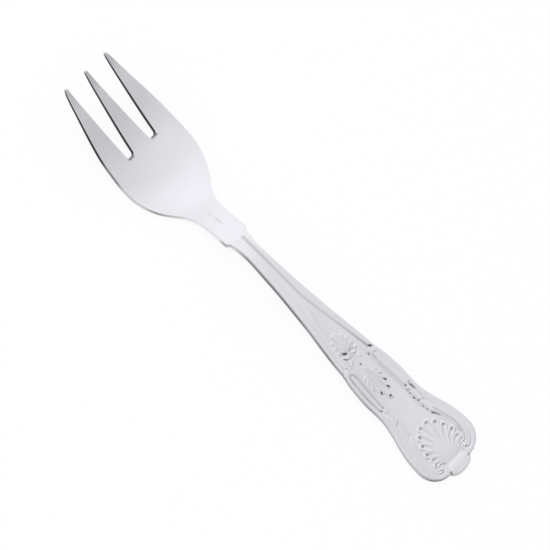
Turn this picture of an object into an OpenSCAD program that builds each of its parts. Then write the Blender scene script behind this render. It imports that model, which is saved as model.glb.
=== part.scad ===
// Three-tined oyster fork with a shell-ended handle, struck from one blank.
// +X points to the tine tips and +Z out of the dished face; the fork lies on z = 0.

/* [Tines] */
// Length of the tines, from their tips to the ends of the slots
tine_length = 24; // [20:0.5:28]
// Distance between neighbouring tine tips
tip_pitch = 7.8; // [7.6:0.1:8.4]
// Width of each tine tip
tip_width = 1; // [0.8:0.1:1.4]
// Distance between the two slots at their roots
root_pitch = 8.8; // [8.2:0.1:9.2]
// Width of each slot at its root
slot_width = 2.45; // [2.2:0.1:3.2]
// Thickness of a tine at its tip
tip_thickness = 0.7; // [0.5:0.05:1]
// Height of the back of the tine tips above the table
tip_height = 11.6; // [8:0.2:14]

/* [Bowl] */
// Length of the bowl, from the slots to the neck
bowl_length = 25.1; // [21:0.1:30]
// Greatest width of the head
head_width = 25.6; // [24:0.1:28]
// Thickness of the bowl
bowl_thickness = 1.4; // [1.2:0.05:1.8]
// Depth of the bowl's dish below its side edges
dish_depth = 1; // [0.4:0.05:1.4]

/* [Neck and stem] */
// Length of the neck, from the bowl to the step behind its ears
neck_length = 10.3; // [9:0.1:13]
// Width of the neck at its narrowest
neck_width = 8.1; // [7:0.1:8.4]
// Width across the two ears
ear_width = 8.2; // [7.4:0.1:9]
// Thickness of the neck at its ears
neck_thickness = 2.7; // [2.2:0.1:3]
// Length of the stem, from the ears to the nicks
stem_length = 45.2; // [38:0.2:56]
// Width of the stem at its narrowest
stem_width = 5.2; // [4.4:0.1:5.8]
// Greatest thickness of the stem
stem_thickness = 2.9; // [2.4:0.1:3.4]
// Height of the stem's back above the table at the top of the arch
arch_height = 2.5; // [2:0.1:4.5]

/* [Handle] */
// Length of the panel, from the nicks to the waist
panel_length = 14.2; // [12.5:0.1:18]
// Width of the handle at the nicks
nick_width = 12.8; // [12:0.1:13.4]
// Greatest width of the panel
panel_width = 15.3; // [14.8:0.1:16.2]
// Width of the waist between the panel and the shoulders
waist_width = 15; // [14.4:0.1:15.8]
// Length of the shoulders, from the waist to the end lobe
shoulder_length = 24.35; // [22:0.05:27]
// Greatest width of the shoulders
shoulder_width = 21.6; // [20:0.1:23]
// Length of the end lobe
lobe_length = 1.85; // [1.6:0.05:2.8]
// Width of the end lobe
lobe_width = 8; // [7.4:0.1:9]
// Thickness of the panel and the shoulders
handle_thickness = 1.6; // [1.5:0.05:2.2]
// Thickness of the end lobe
lobe_thickness = 1.5; // [1.4:0.05:1.8]

/* [Ornament] */
// Depth of the field and the grooves below the rim
field_depth = 0.25; // [0.2:0.05:0.4]
// Width of the grooves beside the threads
groove_width = 0.35; // [0.25:0.05:0.45]
// Width of the thread inside the groove along the stem
thread_width = 1.05; // [0.9:0.05:1.2]
// Distance from the end of the handle to the foot of the shell
shell_foot = 7.8; // [7.2:0.1:8.4]
// Length of the shell, from its foot to the end of its longest flute
shell_length = 8.7; // [8:0.1:9.4]
// Distance from the shell's middle to the ends of its side flutes
shell_spread = 5.7; // [5.3:0.1:5.9]
// Depth of the shell's flutes
flute_depth = 0.22; // [0.1:0.02:0.3]
// Length of the palmette that points to the shell
palmette_length = 10.7; // [9.6:0.1:11.2]
// Length of the husk that points to the tines
husk_length = 6.4; // [5.4:0.1:7.4]
// Depth of the pits that stipple the ornament
pit_depth = 0.5; // [0.4:0.05:0.7]
// Diameter of the larger pits
pit_diameter = 0.8; // [0.6:0.05:0.95]

/* [Hidden] */

// How far a cutting or bounding solid runs past what it bounds
overrun = 1;
// How deep the flats are worn where the bowl and the end of the handle rest on the table
rest_flat = 0.1;
// Rounds at the root of a slot, and run of the slope behind an ear
root_round = 0.8;
ear_run = 0.9;
// Depth and half length of the nick on each side of the handle
nick_depth = 0.1;
nick_reach = 0.8;
// How far the back curves up to the edges of the stem and of the handle, and how far the handle's
// face lies below its edges
stem_crown = 1.1;
handle_crown = 0.15;
handle_dish = 0.6;
// Width of the end of a flute, and of the ridge that bounds it
flute_width = 1.7;
flute_ridge = 0.28;
// Widths of a palmette's petal, of a husk's leaf and of a leaf of the border
petal_width = 1.25;
husk_width = 1.1;
leaf_width = 1.5;
// Width of any leaf or flute where it starts
start_width = 0.35;
// Radius of the scroll's eye, and its place from the end and the middle of the handle
eye_radius = 1.15;
eye_end = 5.2;
eye_side = 5.1;
// Distance from the end of the handle to the hinge that closes the shell's foot
hinge_end = 4.6;

// Points on the rounds
round_steps = 10;

// Places along the fork, measured from the tine tips
neck_place = tine_length + bowl_length;
step_place = neck_place + neck_length;
nick_place = step_place + stem_length;
waist_place = nick_place + panel_length;
lobe_place = waist_place + shoulder_length;
fork_length = lobe_place + lobe_length;
tip_x = fork_length / 2;
shell_place = fork_length - shell_foot;
hinge_place = fork_length - hinge_end;
palmette_place = nick_place + panel_length / 6;
husk_place = nick_place - panel_length / 6;

// Width at a share of the length of each section, as a share between two named widths
tine_width_shares = [[0, 0], [0.13, 0.16], [0.26, 0.29], [0.53, 0.58], [0.79, 0.83], [1, 0.935]];
bowl_width_shares = [[0.2, 1], [0.33, 0.985], [0.45, 0.91], [0.56, 0.785], [0.66, 0.628], [0.75, 0.438],
    [0.82, 0.275], [0.9, 0.13], [1, 0.025]];
neck_width_shares = [[0.3, 0.7], [0.6, 0], [0.8, 0.4]];
stem_width_shares = [[0.01, 0.16], [0.06, 0.05], [0.14, 0.01], [0.26, 0.09], [0.4, 0.2], [0.54, 0.36],
    [0.68, 0.54], [0.82, 0.77], [0.93, 0.93], [1, 1]];
panel_width_shares = [[0.06, 0.16], [0.14, 0.38], [0.24, 0.6], [0.42, 0.83], [0.67, 1]];
shoulder_width_shares = [[0, 0], [0.13, 0.06], [0.27, 0.31], [0.4, 0.61], [0.53, 0.85], [0.64, 0.96], [0.735, 1]];

// Height of the back along the head, as shares of tip_height, and along the neck, of arch_height
tine_back_shares = [[0, 1], [0.13, 0.862], [0.33, 0.69], [0.66, 0.42], [0.9, 0.25]];
bowl_back_shares = [[0, 0.19], [0.12, 0.128], [0.3, 0.053], [0.45, 0.013], [0.6, 0], [0.72, 0]];
neck_back_shares = [[-0.2, 0.12], [0, 0.5], [0.35, 0.74], [0.65, 0.88], [1, 0.97]];
// Half width of the groove along the stem, and of the groove and the field along the panel and
// the shoulders, as shares of the half width of the handle there
stem_groove_shares = [[0.03, 0.4], [0.15, 0.47], [0.42, 0.36], [0.6, 0.55], [0.75, 0.7], [0.9, 0.77], [1, 0.79]];
panel_groove_shares = [[0, 0.86], [0.4, 0.86], [1, 0.83]];
panel_field_shares = [[0, 0.58], [0.3, 0.6], [0.6, 0.62], [1, 0.6]];
shoulder_groove_shares = [[0.3, 0.74], [0.46, 0.755], [0.6, 0.765], [0.735, 0.75], [0.8, 0.7], [0.85, 0.64]];
shoulder_field_shares = [[0.02, 0.8], [0.32, 0.72], [0.37, 0.56], [0.46, 0.62], [0.55, 0.67],
    [0.66, 0.69], [0.75, 0.68], [0.84, 0.62]];
// Direction of each flute, as a share of a right angle, and its size beside the largest
flute_angle_shares = [0.135, 0.38, 0.58, 0.79, 0.95, 1.09];
flute_size_shares = [1, 1, 0.97, 0.9, 0.75, 0.6];
// Ends of the palmette's petals and of the husk's leaves, as shares of its length along and across
palmette_shares = [[1, 0], [0.8, 0.16], [0.58, 0.215], [0.4, 0.24], [0.22, 0.22]];
husk_shares = [[1, 0.1], [0.8, 0.34], [0.55, 0.42], [0.25, 0.4], [-0.1, 0.36]];
// Places across each half of the fork where its faces bend, and how far the face falls away towards
// its edge, as a share of the thickness
column_shares = [-1, -0.95, -0.88, -0.6, -0.3, 0, 0.3, 0.6, 0.88, 0.95, 1];
edge_fall_shares = [[0.88, 0], [0.95, 0.06], [1, 0.2]];
// Places of the border's leaves along the shoulders, and their slant
leaf_shares = [0.03, 0.1, 0.17, 0.24, 0.31];
leaf_slant = 0.5;

// Slope of the curve through points [place, value] at one of them
function slope_at(points, i) =
    let (a = points[max(i - 1, 0)], b = points[min(i + 1, len(points) - 1)])
    (b[1] - a[1]) / (b[0] - a[0]);

// Value at a place of the smooth curve through points [place, value]
function along(points, place) =
    let (i = max([for (k = [0 : len(points) - 2]) if (k == 0 || points[k][0] <= place) k]),
        a = points[i],
        b = points[i + 1],
        gap = b[0] - a[0],
        t = min(max((place - a[0]) / gap, 0), 1))
    a[1] * (2 * t ^ 3 - 3 * t ^ 2 + 1) + slope_at(points, i) * gap * (t ^ 3 - 2 * t ^ 2 + t)
        + b[1] * (3 * t ^ 2 - 2 * t ^ 3) + slope_at(points, i + 1) * gap * (t ^ 3 - t ^ 2);

// Points of a section: its shares laid out from a place over a length, between two values
function section(shares, start, length, from_value, to_value) =
    [for (p = shares) [start + p[0] * length, from_value + p[1] * (to_value - from_value)]];

// Half width of the head and neck, of the stem, and of the handle up to its widest place
tip_span = 2 * tip_pitch + tip_width;
head_edge = concat(
    section(tine_width_shares, 0, tine_length, tip_span / 2, head_width / 2),
    section(bowl_width_shares, tine_length, bowl_length, neck_width / 2, head_width / 2),
    section(neck_width_shares, neck_place, neck_length, neck_width / 2, ear_width / 2),
    [[step_place - ear_run, ear_width / 2]]);
stem_edge = section(stem_width_shares, step_place, stem_length, stem_width / 2, nick_width / 2);
handle_edge = concat(
    section(panel_width_shares, nick_place, panel_length, nick_width / 2, panel_width / 2),
    section(shoulder_width_shares, waist_place, shoulder_length, waist_width / 2, shoulder_width / 2));
corner_place = handle_edge[len(handle_edge) - 1][0];

// Half width of the fork, held at its greatest past the widest place of the shoulders
function half_width(place) =
    place < step_place ? along(head_edge, place)
    : place < nick_place ? along(stem_edge, place)
    : along(handle_edge, place);

// Height of the back along the middle, thickness, dish of the face, and crown of the back
back_line = concat(
    section(tine_back_shares, 0, tine_length, -rest_flat, tip_height),
    section(bowl_back_shares, tine_length, bowl_length, -rest_flat, tip_height),
    section(neck_back_shares, neck_place, neck_length, -rest_flat, arch_height),
    [[step_place + stem_length * 0.09, arch_height], [step_place + stem_length * 0.4, arch_height * 0.93],
        [step_place + stem_length * 0.75, arch_height * 0.78], [nick_place, arch_height * 0.5],
        [waist_place, arch_height * 0.12], [corner_place, arch_height * 0.03], [lobe_place, -rest_flat], [fork_length, -rest_flat]]);
thickness_line = [[0, tip_thickness], [tine_length / 2, (tip_thickness + bowl_thickness) * 0.57],
    [tine_length, bowl_thickness], [tine_length + bowl_length * 0.7, bowl_thickness * 1.05],
    [neck_place, (bowl_thickness + neck_thickness) / 2], [step_place - ear_run, neck_thickness],
    [step_place + stem_length * 0.12, stem_thickness], [nick_place, handle_thickness * 1.08],
    [waist_place, handle_thickness], [corner_place, handle_thickness],
    [lobe_place, lobe_thickness], [fork_length, lobe_thickness]];
dish_line = [[0, 0], [tine_length * 0.3, dish_depth * 0.22], [tine_length * 0.7, dish_depth * 0.55],
    [tine_length, dish_depth * 0.82], [tine_length + bowl_length * 0.4, dish_depth],
    [tine_length + bowl_length * 0.7, dish_depth * 0.85], [neck_place, dish_depth * 0.25],
    [neck_place + neck_length * 0.4, 0], [nick_place - panel_length / 2, 0],
    [nick_place + panel_length / 4, handle_dish], [corner_place, handle_dish],
    [lobe_place, handle_dish / 4], [fork_length, 0]];
crown_line = [[0, 0], [tine_length + bowl_length * 0.7, 0], [neck_place, stem_crown * 0.5],
    [step_place, stem_crown], [step_place + stem_length * 0.3, stem_crown], [nick_place, handle_crown],
    [corner_place, handle_crown], [lobe_place, handle_crown / 3], [fork_length, handle_crown / 3]];

// Height of the face, and of the back, at a share of the half width
function face_height(place, share = 0) =
    along(back_line, place) + along(thickness_line, place) * (1 - lookup(abs(share), edge_fall_shares))
        + along(dish_line, place) * share ^ 2;
function back_height(place, share) =
    along(back_line, place) + (along(dish_line, place) + along(crown_line, place)) * share ^ 2;

// Places of the rings of points that carry the curved faces
head_rings = concat([for (i = [0 : 7]) i / 8 * tine_length], [for (i = [0 : 13]) tine_length + i / 14 * bowl_length],
    [for (i = [0 : 5]) neck_place + i / 6 * neck_length]);
handle_rings = concat([for (i = [0 : 11]) step_place + i / 12 * stem_length],
    [for (i = [0 : 9]) nick_place + i / 10 * (corner_place - nick_place)], [corner_place],
    [for (i = [1, 2]) corner_place + i / 2 * (lobe_place - corner_place)], [fork_length + overrun]);

// A solid between rings of points, each a lower row and then as many back along an upper row
module skin(rings) {
    count = len(rings[0]);
    last = (len(rings) - 1) * count;
    sides = [for (r = [0 : count : last - 1], k = [0 : count - 1])
        let (a = r + k, b = r + (k + 1) % count)
        each [[a, b, a + count], [b, b + count, a + count]]];
    end = [for (k = [0 : count / 2 - 2]) [k, k + 1, count - 2 - k, count - 1 - k]];
    polyhedron([for (ring = rings) each ring], concat(
        [for (cell = end) [for (k = [3 : -1 : 0]) cell[k]]],
        sides,
        [for (cell = end) [for (k = cell) last + k]]));
}

// Points across the fork at one place, on the back (turn = 1) or on the face (turn = -1), with one
// past each edge of the outline
function across(place, turn) =
    let (edge = half_width(place), past = 1 + overrun / edge)
    [for (share = concat([-past], column_shares, [past]))
        [tip_x - place, turn * share * edge, turn > 0 ? back_height(place, share) : face_height(place, share)]];

// The two curved faces of the fork, over more than its outline
module faces() {
    places = concat([-overrun], head_rings, handle_rings);
    skin([for (place = places) concat(across(place, 1), across(place, -1))]);
}

// All that lies above a copy of the handle's face let down by a depth, where the children's plan is
module above_face(down) {
    top = arch_height + stem_thickness + overrun;
    intersection() {
        linear_extrude(height = top) children();
        skin([for (place = handle_rings) let (x = tip_x - place, z = face_height(place) - down)
            [[x, -shoulder_width, z], [x, shoulder_width, z], [x, shoulder_width, top], [x, -shoulder_width, top]]]);
    }
}

// Points of a curve of half widths between two places, on one side (1) or the other (-1)
function side_points(curve, from_place, to_place, steps, side = 1) =
    [for (i = [0 : steps]) let (place = from_place + i / steps * (to_place - from_place))
        [tip_x - place, side * along(curve, place)]];

// Points of an arc about a middle, with a radius along and a radius across
function arc_points(middle, along_radius, across_radius, from_angle, to_angle, steps) =
    [for (i = [0 : steps]) let (a = from_angle + i / steps * (to_angle - from_angle))
        middle + [along_radius * cos(a), across_radius * sin(a)]];

// One side of the struck outline, from the tine tips to the end of the handle
outline_side = concat(
    side_points(head_edge, tip_width / 2, tine_length, 8),
    side_points(head_edge, tine_length * 1.04, neck_place, 20),
    side_points(head_edge, neck_place + neck_length / 4, step_place - ear_run, 4),
    side_points(stem_edge, step_place, nick_place - nick_reach, 16),
    [[tip_x - nick_place, nick_width / 2 - nick_depth]],
    side_points(handle_edge, nick_place + nick_reach, corner_place, 18),
    arc_points([tip_x - corner_place, lobe_width / 2], lobe_place - corner_place,
        (shoulder_width - lobe_width) / 2, 100, 180, round_steps),
    arc_points([tip_x - lobe_place, 0], lobe_length, lobe_width / 2, 100, 180, round_steps));

// The plan of the struck outline
module outline() {
    polygon(concat(outline_side, [for (i = [len(outline_side) - 2 : -1 : 0])
        [outline_side[i][0], -outline_side[i][1]]]));
    for (tine = [-1 : 1]) translate([tip_x - tip_width / 2, tine * tip_pitch])
        circle(d = tip_width, $fn = round_steps);
}

// The plan of one slot: straight flanks from a root with two rounds
module slot(side) {
    root_x = tip_x - tine_length;
    mouth_x = tip_x - tip_width / 2;
    mouth_width = tip_pitch - tip_width;
    root = side * root_pitch / 2;
    mouth = side * tip_pitch / 2;
    corner = slot_width / 2 - root_round;
    polygon(concat(
        arc_points([root_x + root_round, root - corner], root_round, root_round, 270, 180, round_steps / 2),
        arc_points([root_x + root_round, root + corner], root_round, root_round, 180, 90, round_steps / 2),
        [[mouth_x, mouth + mouth_width / 2], [tip_x + overrun, mouth + mouth_width / 2],
            [tip_x + overrun, mouth - mouth_width / 2], [mouth_x, mouth - mouth_width / 2]]));
}

// The blank, with its face at the level of the rim
module blank() {
    intersection() {
        linear_extrude(height = tip_height + stem_thickness + dish_depth) difference() {
            outline();
            for (side = [-1, 1]) slot(side);
        }
        faces();
    }
}

// The plan of a leaf with a narrow start and a round end
module leaf(from, to, width) {
    way = to - from;
    turn = atan2(way[1], way[0]);
    translate(from) rotate(turn) polygon(concat(
        [[0, -start_width / 2]],
        arc_points([norm(way) - width / 2, 0], width / 2, width / 2, -90, 90, round_steps),
        [[0, start_width / 2]]));
}

// Half widths of the groove and of the field, as curves along the handle
function handle_shares(shares, start, length) =
    [for (p = shares) let (place = start + p[0] * length) [place, p[1] * half_width(place)]];
stem_groove = handle_shares(stem_groove_shares, step_place, stem_length);
panel_groove = handle_shares(panel_groove_shares, nick_place, panel_length);
shoulder_groove = handle_shares(shoulder_groove_shares, waist_place, shoulder_length);
stem_field = [for (p = stem_groove) [p[0], max(p[1] - groove_width - thread_width, 0)]];
lower_field = concat(handle_shares(panel_field_shares, nick_place + nick_reach, panel_length - 2 * nick_reach),
    handle_shares(shoulder_field_shares, waist_place, shoulder_length));

// The plan of a groove on both sides, inside a curve
module groove(curve, from_place, to_place, steps) {
    inner = [for (p = curve) [p[0], p[1] - groove_width]];
    for (side = [-1, 1])
        polygon(concat(side_points(curve, from_place, to_place, steps, side),
            side_points(inner, to_place, from_place, steps, side)));
}

// The plan of all that lies between a curve and its mirror image
module inside(curve, from_place, to_place, steps) {
    polygon(concat(side_points(curve, from_place, to_place, steps, 1),
        side_points(curve, to_place, from_place, steps, -1)));
}

// The plan of the groove round the scroll's eye on one side
module eye_groove() {
    translate([eye_end - tip_x, eye_side]) difference() {
        circle(r = eye_radius + groove_width, $fn = round_steps);
        circle(r = eye_radius, $fn = round_steps);
    }
}

// Where the children are, on both sides of the handle
module both_sides() {
    children();
    mirror([0, 1]) children();
}

// Where flute i ends, from the foot of the shell
function flute_end(i, longer = 0) =
    let (a = 90 * flute_angle_shares[i]) [(shell_length + longer) * cos(a), (shell_spread + longer) * sin(a)];

// The plan of the shell's flutes on one side, wider all round by an amount
module flutes(wider) {
    foot = [tip_x - shell_place, 0];
    for (i = [0 : len(flute_angle_shares) - 1])
        leaf(foot + flute_end(i) * (wider > 0 ? 0 : 0.2), foot + flute_end(i, flute_width / 2 + wider),
            flute_width * flute_size_shares[i] + 2 * wider);
}

// The plan of a fan of leaves on one side, towards the shell (way = -1) or the tines (way = 1)
module fan(place, length, shares, way, width) {
    foot = [tip_x - place, 0];
    for (p = shares) {
        end = length * [way * p[0], p[1]];
        leaf(foot, foot + end, width);
    }
}

// The plan of the leaves of the border on one side
module border_leaves() {
    for (share = leaf_shares) {
        place = waist_place + share * shoulder_length;
        edge = half_width(place);
        leaf([tip_x - place - leaf_slant, edge * 0.82], [tip_x - place + leaf_slant, edge * 0.5], leaf_width);
    }
}

// The plan of the pits on one side: at the tips of the petals, in the flutes, and along the border
module pits() {
    foot = [tip_x - palmette_place, 0];
    for (p = palmette_shares)
        translate(foot + (palmette_length - petal_width / 2) * [-p[0], p[1]]) circle(d = pit_diameter, $fn = 8);
    for (i = [0 : len(flute_angle_shares) - 1])
        translate([tip_x - shell_place, 0] + flute_end(i)) circle(d = pit_diameter * flute_size_shares[i], $fn = 8);
    for (share = leaf_shares) {
        place = waist_place + share * shoulder_length;
        translate([tip_x - place + leaf_slant / 2, half_width(place) * 0.58]) circle(d = pit_diameter, $fn = 8);
    }
    translate([eye_end - tip_x, eye_side]) circle(d = pit_diameter, $fn = 8);
    translate([tip_x - nick_place, 0]) circle(d = pit_diameter, $fn = 8);
}

// The plan of the sunk field: threads, palmette, husk, leaves, shell and scrolls stand up from it
module field() {
    difference() {
        union() {
            inside(stem_field, step_place + stem_length * 0.58, nick_place, 8);
            inside(lower_field, nick_place, hinge_place, 30);
        }
        both_sides() {
            fan(palmette_place, palmette_length, palmette_shares, -1, petal_width);
            fan(husk_place, husk_length, husk_shares, 1, husk_width);
            border_leaves();
            flutes(flute_ridge);
            translate([eye_end - tip_x, eye_side]) circle(r = eye_radius, $fn = round_steps);
        }
    }
    groove(stem_groove, step_place + ear_run, nick_place - nick_reach, 14);
    groove(panel_groove, nick_place + 2 * nick_reach, waist_place, 8);
    groove(shoulder_groove, waist_place + shoulder_length * 0.35, waist_place + shoulder_length * 0.85, 10);
    both_sides() eye_groove();
}

// The whole fork, one piece of metal
module fork() {
    color("silver") difference() {
        blank();
        above_face(field_depth) field();
        above_face(flute_depth) both_sides() flutes(0);
        above_face(pit_depth) both_sides() pits();
    }
}

fork();
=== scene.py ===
"""A three-tined oyster fork with a shell-ended handle, dressed in polished steel around its CAD part.

The fork is struck and bent from one blank, so one smooth closed mesh stands for it. A place is a
distance from the tine tips towards the handle and a side is a distance from the middle line, both
in millimetres, as in the CAD source. The mesh is turned to metres when it is made.
"""

import logging
import math
from collections.abc import Iterable, Sequence
from dataclasses import dataclass, field
from enum import Enum

import bpy
import numpy as np
from mathutils import Matrix, Vector, kdtree


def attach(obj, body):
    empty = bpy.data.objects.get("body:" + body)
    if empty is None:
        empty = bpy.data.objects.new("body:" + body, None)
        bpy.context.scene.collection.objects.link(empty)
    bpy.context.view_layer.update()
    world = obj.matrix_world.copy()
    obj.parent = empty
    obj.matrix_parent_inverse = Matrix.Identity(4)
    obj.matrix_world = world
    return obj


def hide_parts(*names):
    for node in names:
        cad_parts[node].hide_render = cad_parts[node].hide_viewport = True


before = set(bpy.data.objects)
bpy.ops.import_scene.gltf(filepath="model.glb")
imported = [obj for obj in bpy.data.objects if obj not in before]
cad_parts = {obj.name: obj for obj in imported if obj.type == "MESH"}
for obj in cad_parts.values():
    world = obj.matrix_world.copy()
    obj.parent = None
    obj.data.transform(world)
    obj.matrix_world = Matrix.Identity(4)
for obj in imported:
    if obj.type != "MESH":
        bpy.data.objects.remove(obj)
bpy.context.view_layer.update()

LOG = logging.getLogger("oyster_fork")
MILLIMETRE = 0.001
BODY = "root"
NODE = "fork"

Array = np.ndarray
Pairs = Sequence[tuple[float, float]]
Dark = float | tuple[float, float]
# Further from a path or an edge than anything matters, in millimetres
FAR = 9.0
# How dark the painted shade is that darkens the stem and the handle below the bowl's tone
PAINTED_HANDLE_SHADE = 0.088


# Curves


class Profile:
    """A smooth curve of one value along the fork."""

    FINE_STEP = 0.05

    def __init__(self, points: Pairs, blur: float = 0.0) -> None:
        """Keep the points and work out the slope at each.

        Args:
            points: (place, value) pairs in order of place.
            blur: how far the curve is blurred along the fork, so that a mirror shows no bend in it.
        """
        self.place, self.value = np.array(points, float).T
        index = np.arange(len(self.place))
        before, after = np.maximum(index - 1, 0), np.minimum(index + 1, index[-1])
        self.slope = (self.value[after] - self.value[before]) / (self.place[after] - self.place[before])
        self.fine: Array | None = None
        if blur:
            self.soften(blur)

    def soften(self, blur: float) -> None:
        """Blur the curve, which runs on straight past its ends.

        Args:
            blur: width of the blur.
        """
        step, reach = self.FINE_STEP, 3 * blur
        fine = np.arange(self.place[0] - 2 * reach, self.place[-1] + 2 * reach, step)
        value = self.exact(fine)
        value += np.minimum(fine - self.place[0], 0) * self.slope[0]
        value += np.maximum(fine - self.place[-1], 0) * self.slope[-1]
        weights = np.exp(-0.5 * (np.arange(-reach, reach + step, step) / blur) ** 2)
        self.soft = np.convolve(value, weights / weights.sum(), "same")
        self.fine = fine

    def __call__(self, place: Array | float) -> Array:
        """The value at each place, blurred if the curve is."""
        return self.exact(place) if self.fine is None else np.interp(place, self.fine, self.soft)

    def exact(self, place: Array | float) -> Array:
        """Values at some places of the curve without its blur, held beyond the ends.

        Args:
            place: one place or an array of them.

        Returns:
            The value at each place.
        """
        place = np.asarray(place, float)
        left = np.clip(np.searchsorted(self.place, place, side="right") - 1, 0, len(self.place) - 2)
        gap = self.place[left + 1] - self.place[left]
        t = np.clip((place - self.place[left]) / gap, 0.0, 1.0)
        return (
            self.value[left] * (2 * t**3 - 3 * t**2 + 1)
            + self.slope[left] * gap * (t**3 - 2 * t**2 + t)
            + self.value[left + 1] * (3 * t**2 - 2 * t**3)
            + self.slope[left + 1] * gap * (t**3 - t**2)
        )


def section(shares: Pairs, start: float, length: float, low: float, high: float) -> list[tuple[float, float]]:
    """Points of a section of a curve, from shares of its length and shares between its two values."""
    return [(start + along * length, low + share * (high - low)) for along, share in shares]


def arc(share: Array) -> Array:
    """Height of a round arc of radius 1 at some distances from its middle, and 0 past its ends."""
    return np.sqrt(np.clip(1 - share**2, 0, 1))


def smooth_step(value: Array) -> Array:
    """Smooth rise from 0 to 1 as the value goes from 0 to 1."""
    t = np.clip(value, 0.0, 1.0)
    return t * t * (3 - 2 * t)


def sweep(points: Pairs, steps: int = 10) -> Array:
    """A smooth path through a few points.

    Args:
        points: (place, side) pairs.
        steps: pieces between two of them.

    Returns:
        The path's points, one a row.
    """
    given = np.array(points, float)
    if len(given) < 3:
        return given[0] + np.linspace(0, 1, steps + 1)[:, None] * (given[-1] - given[0])
    padded = np.vstack([2 * given[0] - given[1], given, 2 * given[-1] - given[-2]])
    t = np.linspace(0, 1, steps, endpoint=False)[:, None]
    parts = []
    for a, b, c, d in zip(padded, padded[1:], padded[2:], padded[3:]):
        parts.append(
            0.5 * (2 * b + (c - a) * t + (2 * a - 5 * b + 4 * c - d) * t**2 + (3 * b - a - 3 * c + d) * t**3)
        )
    return np.vstack(parts + [given[-1:]])


# The blank

# Each pair is a share of the section's length and a share of the way between its two values
TINE_WIDTHS = ((0, 0), (0.13, 0.16), (0.26, 0.29), (0.53, 0.58), (0.79, 0.83), (1, 0.935))
BOWL_WIDTHS = (
    (0.2, 1), (0.33, 0.985), (0.45, 0.91), (0.56, 0.785), (0.66, 0.628), (0.75, 0.438), (0.82, 0.275),
    (0.9, 0.13), (1, 0.025),
)
NECK_WIDTHS = ((0.3, 0.7), (0.6, 0), (0.8, 0.4))
STEM_WIDTHS = (
    (0.01, 0.16), (0.06, 0.05), (0.14, 0.01), (0.26, 0.09), (0.4, 0.2), (0.54, 0.36), (0.68, 0.54),
    (0.82, 0.77), (0.93, 0.93), (1, 1),
)
PANEL_WIDTHS = ((0.06, 0.16), (0.14, 0.38), (0.24, 0.6), (0.42, 0.83), (0.67, 1))
SHOULDER_WIDTHS = ((0, 0), (0.13, 0.06), (0.27, 0.31), (0.4, 0.61), (0.53, 0.85), (0.64, 0.96))
TINE_BACKS = ((0, 1), (0.13, 0.862), (0.33, 0.69), (0.66, 0.42), (0.9, 0.25))
BOWL_BACKS = ((0, 0.19), (0.12, 0.128), (0.3, 0.053), (0.45, 0.013), (0.6, 0), (0.72, 0))
NECK_BACKS = ((-0.2, 0.12), (0, 0.5), (0.35, 0.74), (0.65, 0.88), (1, 0.97))

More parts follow.
